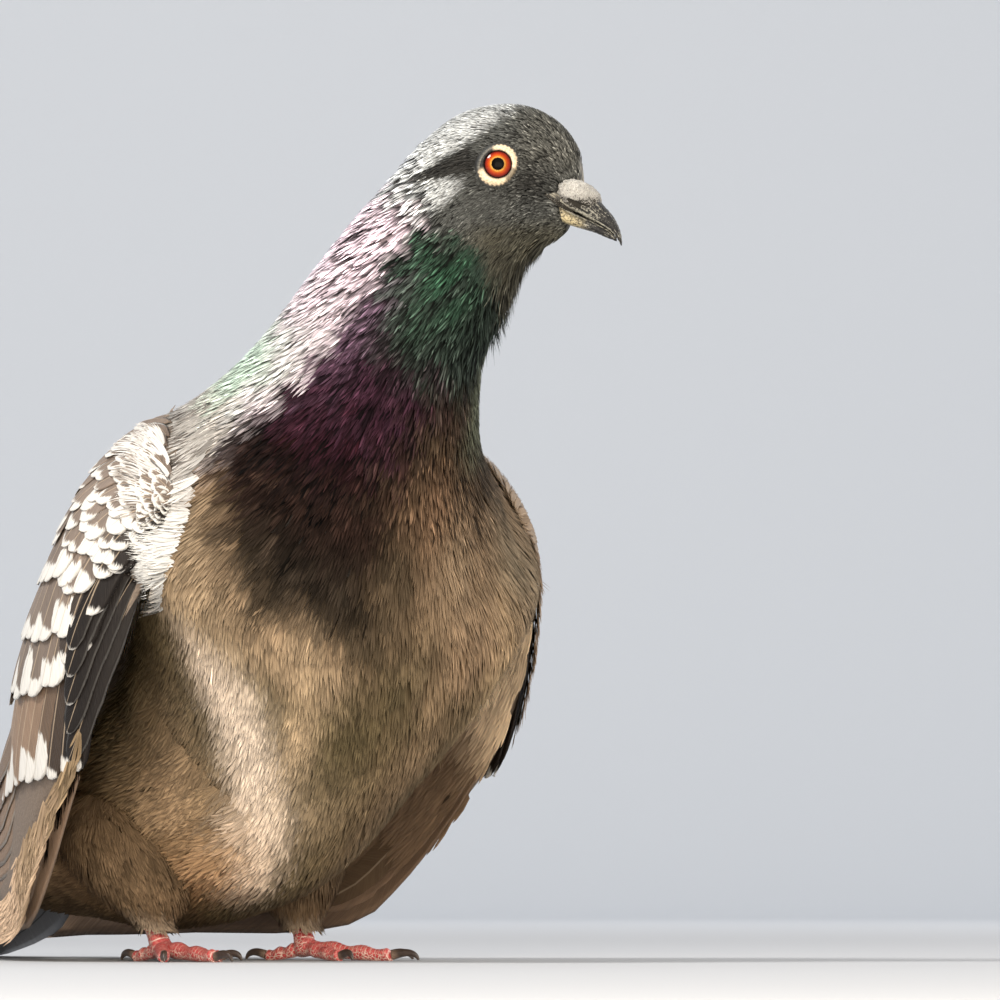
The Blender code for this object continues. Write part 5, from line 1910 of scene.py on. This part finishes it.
cere_paint = cere_material()
lips(cere_paint)
lobes = [cere_lobe(sign) for sign in (LEFT, RIGHT)]
make_piece("cere_lobes", *gathered([lobe for lobe, _ in lobes]), cere_paint, "cere", ["cere"],
           floats={"dirt": np.concatenate([dirt for _, dirt in lobes])})

# %% [markdown]
# ## Legs, toes and claws
# The bare leg is clad in horny scutes: a row of broad plates down its front and along the top of each
# toe, and small round scales elsewhere, with pale seams between them. The plates are real relief. At
# x mm along, the radius swells and drops once for each plate, like the tiles on a roof.

# %% Measures of the feet
HEADING = {"left": 24, "right": 2}          # degrees outwards that each foot points
TARSUS_RADII = (2.9, 2.5, 2.6)              # at the foot, half way and at the top
TOES = {"inner": (-28, 17.0, 2.1), "middle": (0, 25.0, 2.3), "outer": (30, 20.5, 2.1),
        "hind": (178, 11.5, 2.0)}           # angle outwards, length, radius at the root
TOE_TAPER, PAD_SWELL, SOLE = 0.28, 0.10, 0.35
CLAW_GAP = 0.3
CLAW_LENGTH = {"inner": 5.5, "middle": 7.5, "outer": 6.0, "hind": 6.0}
CLAW_RADII = (1.15, 1.0, 0.75, 0.3)
PLATE = 1.45                                # mm from scute to scute
LEG_COLUMNS = 36


print("toes:", {name: length for name, (_, length, _) in TOES.items()}, "mm long")

# %% Plated tubes
def plated_tube(centre, across, over, radius, way, plate, flat=0.0):
    """Rings P = C + r (across sin(a) + over cos(a)), with plates raised where cos(a) > 0.

    r = radius (1 + 0.07 top (1 - phase)^0.6 - 0.05 seam), phase going from 0 to 1 along each plate.
    """
    a = round_angles(LEG_COLUMNS)[None]
    phase = (way[:, None] / plate + 0.16 * np.cos(a)) % 1.0
    top = soft(np.cos(a), 0.05, 0.45)
    seam = bell(phase, 0.97, 0.07) + bell(phase, -0.03, 0.07)
    swell = 0.05 * (1 - phase) ** 0.6 - 0.045 * seam
    r = radius[:, None] * (0.96 + top * swell)
    high = np.where(np.cos(a) < 0, 1 - flat, 1.0)
    grid = (centre[:, None] + across[:, None] * (r * np.sin(a))[..., None]
            + over[:, None] * (r * high * np.cos(a))[..., None])
    return grid, {"seam": seam * top, "top": np.broadcast_to(top, r.shape)}

# %% Toes and tarsus
def toe_frame(side, sign, angle):
    heading = math.radians(HEADING[side] + angle)
    along = np.array([sign * math.sin(heading), -math.cos(heading), 0.0])
    joint = np.array([sign * FOOT_X, FOOT_Y, FOOT_Z])
    return joint, along


def toe(side, sign, angle, length, radius):
    """A toe that drops from the ankle onto its pads: drop = 1 - (1 - share)^2."""
    joint, along = toe_frame(side, sign, angle)
    way = np.linspace(0, length, int(length * 6.5))
    share = way / length
    r = radius * (1 - TOE_TAPER * share) * (1 + PAD_SWELL * np.cos(6 * math.pi * share))
    r = r * np.sqrt(np.clip(1 - ((share - 0.93) / 0.075).clip(0) ** 2, 0.05, 1))
    drop = 1 - (1 - share) ** 2
    up = joint[2] * (1 - drop) + (r - SOLE) * drop
    centre = joint * (1, 1, 0) + along * way[:, None] + UP * up[:, None]
    across = np.broadcast_to(np.cross(along, UP), centre.shape)
    over = np.broadcast_to(UP, centre.shape)
    return plated_tube(centre, across, over, r, way, PLATE * 0.85, flat=0.1)


def tarsus(side, sign):
    """The bare leg, from inside the foot up into the thigh's feathers."""
    joint = np.array([FOOT_X, FOOT_Y, FOOT_Z])
    rise = np.linspace(-1.2, LEG_TOP - FOOT_Z + 4.0, 90)
    centre = (joint + LEG_LEAN * rise[:, None]) * (sign, 1, 1)
    share = np.clip(rise / (LEG_TOP - FOOT_Z), 0, 1)
    radius = np.interp(share, [0, 0.5, 1], TARSUS_RADII)
    axis = unit(LEG_LEAN * (sign, 1, 1))
    over = unit(toe_frame(side, sign, 0)[1] - axis * (toe_frame(side, sign, 0)[1] @ axis))
    across = np.cross(axis, over)
    shape = centre.shape
    return plated_tube(centre, np.broadcast_to(across, shape), np.broadcast_to(over, shape), radius,
                       rise - rise[0], PLATE)


def leg_piece(side, sign, material):
    parts = [tarsus(side, sign)] + [toe(side, sign, *toe_size) for toe_size in TOES.values()]
    floats = {key: np.concatenate([np.append(values[key].ravel(), [0.0, 0.0]) for _, values in parts])
              for key in ("seam", "top")}
    make_piece("leg_" + side + "_skin", *gathered([closed(grid) for grid, _ in parts]), material,
               "leg_skin", ["leg_" + side], floats=floats)

# %% Skin of the legs
def leg_material():
    """Coral red skin under horny plates, with whitish seams and small scales between."""
    p = Paint("scaly_leg_skin", Roughness=0.42, Specular_IOR_Level=0.5)
    scales = p.node("ShaderNodeTexVoronoi", {"feature": "DISTANCE_TO_EDGE"},
                    {"Scale": 1050, "Vector": p.place()})
    net = 1.0 - scales.step(0.03, 0.16)
    tone = p.noise(260, detail=3)
    grain = p.noise(2200, detail=3)
    top = p.value("top")
    red = p.mix(tone, (0.36, 0.028, 0.032), (0.66, 0.11, 0.105))
    red = p.scaled(red, 0.75 + 0.5 * grain)
    seams = (p.value("seam") * 1.2 + net * (1.0 - top * 0.75)).clamped() * grain.step(0.25, 0.5)
    dusty = (tone + 0.5 * (grain - 0.5)).step(0.62, 0.78) * 0.5
    colour = p.mix(seams * 0.85, red, (0.80, 0.66, 0.56))
    p.wear(Base_Color=p.mix(dusty, colour, (0.55, 0.36, 0.24)))
    p.bumps(0.7 * (1.0 - net * (1.0 - top)) + 0.3 * grain, 0.0002)
    return p.material

# %% Claws
def claw(side, sign, toe_name, material):
    """A curved claw: centre = start + along length sin(80 share), sinking, with shrinking rings."""
    angle, length, radius = TOES[toe_name]
    joint, along = toe_frame(side, sign, angle)
    share = np.linspace(0, 1, 40)
    start = joint * (1, 1, 0) + along * (length + CLAW_GAP) + UP * 1.35
    reach = CLAW_LENGTH[toe_name] * np.sin(share * math.radians(80))
    up = 0.9 * np.sin(math.pi * share) - (start[2] - 0.3) * share ** 2
    centre = start + along * reach[:, None] + UP * up[:, None]
    r = np.interp(share, np.linspace(0, 1, 4), CLAW_RADII) * 0.97
    a = round_angles(28)
    ridge = 1 - 0.16 * np.abs(np.sin(a)) ** 3
    forward = unit(np.gradient(centre, axis=0))
    across = np.cross(along, UP)
    over = np.cross(across, forward)
    grid = (centre[:, None] + across * (r[:, None] * np.sin(a) * ridge)[..., None]
            + over[:, None] * (r[:, None] * np.cos(a))[..., None])
    name = "claw_" + toe_name + "_" + side
    make_piece(name + "_horn", *closed(grid), material, "horn", [name],
               floats={"along": np.append(np.repeat(share, len(a)), [0.0, 1.0])})


def claw_material():
    p = Paint("claw_horn", Roughness=0.32)
    along = p.value("along")
    grain = p.noise(900, p.place((1.0, 1.0, 3.0)), detail=4)
    colour = p.mix(grain, (0.018, 0.013, 0.012), (0.085, 0.058, 0.045))
    colour = p.mix((1.0 - along.step(0.0, 0.25)) * grain, colour, (0.32, 0.22, 0.16))
    p.wear(Base_Color=colour)
    p.bumps(grain, 0.0001)
    return p.material


scaly_paint, claw_paint = leg_material(), claw_material()
for side, sign in SIDES.items():
    leg_piece(side, sign, scaly_paint)
    for toe_name in TOES:
        claw(side, sign, toe_name, claw_paint)

# %% [markdown]
# ## Feathered thighs
# Down to the ankle joint the leg wears the belly's soft feathers, shorter and shorter towards the bare
# skin, which they overhang as a small ragged cuff.

# %% Thigh feathers
THIGH_TOP = 32.0
THIGH_BROWN = np.array((0.135, 0.090, 0.052))
THIGH_FLUFF, CUFF = (0.195, 0.130, 0.076), (0.34, 0.27, 0.20)


def thigh_feathers(side, sign, paint):
    """Rows from the top down; behind and inside, where the thigh meets the belly, they stand out."""
    rng = np.random.default_rng(110 + sign)

    def downwards(drop, angle, grow):
        return thigh(THIGH_TOP - drop, angle, sign, grow)

    drop, angle = scatter(downwards, (0.2, 32.3), (0.0, TURN), 2.2, 1.9, rng)
    high = 1 - soft(drop, 19, 29)
    rear, inner = (high * bell(turned(np.degrees(angle), centre), 0, reach)
                   for centre, reach in ((318, 48), (128, 46)))
    length = np.interp(drop, [0, 23, 33], [7.5, 6.0, 3.2]) * (1 + 1.0 * rear + 0.8 * inner)
    lift = 0.4 + (5.0 * rear + 2.5 * inner) * rng.uniform(0.3, 1.0, len(drop))
    here = downwards(drop, angle, 0.0)
    colours = speckled(THIGH_BROWN, here, 0.35, 7, 41)
    colours = laid_over(colours, THIGH_FLUFF,
                        np.maximum(rear, inner) * soft(mottle(here, 9, 42), -0.9, 0.2))
    colours = laid_over(colours, CUFF, soft(drop, 25, 32) * 0.65)
    bake = on_skin_map("thigh_" + side, np.clip((33 - drop) / 33, 0, 1), angle / TURN)
    tuft_piece("coat_thigh_" + side, downwards, drop, angle, (length, 2.9, 1.6), rng, colours, bake,
               paint, "body_feathers", blades=6, stations=3, lift=lift, thick=0.14, ragged=0.25,
               heading=rng.normal(0, 0.16, len(drop)) - 0.5 * rear + 0.55 * inner)
    return rng


def thigh_cover(side, sign, paint, rng):
    """Belly feathers that fall over the top of the thigh and hide where it leaves the body."""
    t, theta = scatter(body, (15.5, 18.3), np.radians((216, 272)), 2.1, 2.1, rng)
    edge = soft(235 - np.degrees(theta), -6, 8)
    rise = 1.4 + 2.6 * soft(t, 15.7, 16.8) * (1 - 0.4 * edge)
    lift = rng.uniform(0.7, 1.2, len(t)) * rise
    angle = on_side(theta, sign)
    tuft_piece("thigh_cover_" + side, body, t, angle, (rng.uniform(9, 14, len(t)), 3.2, 0.4), rng,
               plumage(t, angle, body(t, angle)), bake_on_body(t, angle), paint, "body_feathers",
               blades=4, stations=3, lift=lift, thick=0.12, ragged=0.3,
               heading=sign * -0.35 * edge + rng.normal(0, 0.12, len(t)))


for side, sign in SIDES.items():
    thigh_cover(side, sign, body_coat, thigh_feathers(side, sign, body_coat))

# %% [markdown]
# ## Floor, light and finish
# A pale floor that turns up into a wall shows the bird without a horizon. Four soft lamps stand round it:
# the key behind its right shoulder, two fills in front and one at its left side.

# %% Floor
def make_floor():
    """A pale floor that turns up into a wall far behind the bird, so that no edge shows."""
    half, back, radius, high = 3.0, 2.2, 0.9, 3.5
    bend = np.linspace(0, math.pi / 2, 24)
    profile = [(-4.0, 0.0)] + [(back + radius * math.sin(a), radius * (1 - math.cos(a))) for a in bend]
    profile.append((back + radius, high))
    points, faces = [], []
    for way, up in profile:
        for aside in (-half, half):
            points.append((aside * math.cos(VIEW_TURN) + way * math.sin(VIEW_TURN),
                           -aside * math.sin(VIEW_TURN) + way * math.cos(VIEW_TURN), up))
    for k in range(len(profile) - 1):
        faces.append((2 * k, 2 * k + 1, 2 * k + 3, 2 * k + 2))
    mesh = bpy.data.meshes.new("floor")
    mesh.from_pydata(points, [], faces)
    mesh.polygons.foreach_set("use_smooth", np.full(len(faces), True))
    p = Paint("pale_floor", Roughness=0.9)
    away = p.node("ShaderNodeVectorMath", {"operation": "LENGTH"}, {0: p.place()}, out=1)
    p.wear(Base_Color=p.mix(away.step(0.5, 1.9), (0.46, 0.47, 0.49), (0.80, 0.82, 0.85)))
    mesh.materials.append(p.material)
    linked("floor", mesh)

# %% Light
def make_light(name, place, target, size, power, colour):
    data = bpy.data.lights.new(name, "AREA")
    data.shape = "DISK"
    data.size = size
    data.energy = power
    data.color = colour
    lamp = linked(name, data)
    lamp.location = place
    lamp.rotation_mode = "QUATERNION"
    lamp.rotation_quaternion = (Vector(target) - Vector(place)).to_track_quat("-Z", "Y")


make_floor()
middle = (0.0, 0.0, 0.1)
make_light("key", (-1.15, 0.15, 1.35), middle, 0.5, 28, (1.0, 0.97, 0.92))
make_light("fill", (-1.0, -1.9, 0.75), middle, 2.0, 25, (1.0, 0.94, 0.85))
make_light("bounce", (-0.75, -1.2, 0.12), middle, 1.0, 21, (1.0, 0.84, 0.64))
make_light("side", (1.6, -0.4, 0.7), middle, 1.5, 16, (1.0, 0.93, 0.85))
world = bpy.data.worlds.new("studio")
bpy.context.scene.world = world
world.use_nodes = True
world.node_tree.nodes["Background"].inputs["Color"].default_value = (0.80, 0.84, 0.90, 1)
world.node_tree.nodes["Background"].inputs["Strength"].default_value = 0.60
bpy.context.scene.view_settings.view_transform = "Standard"
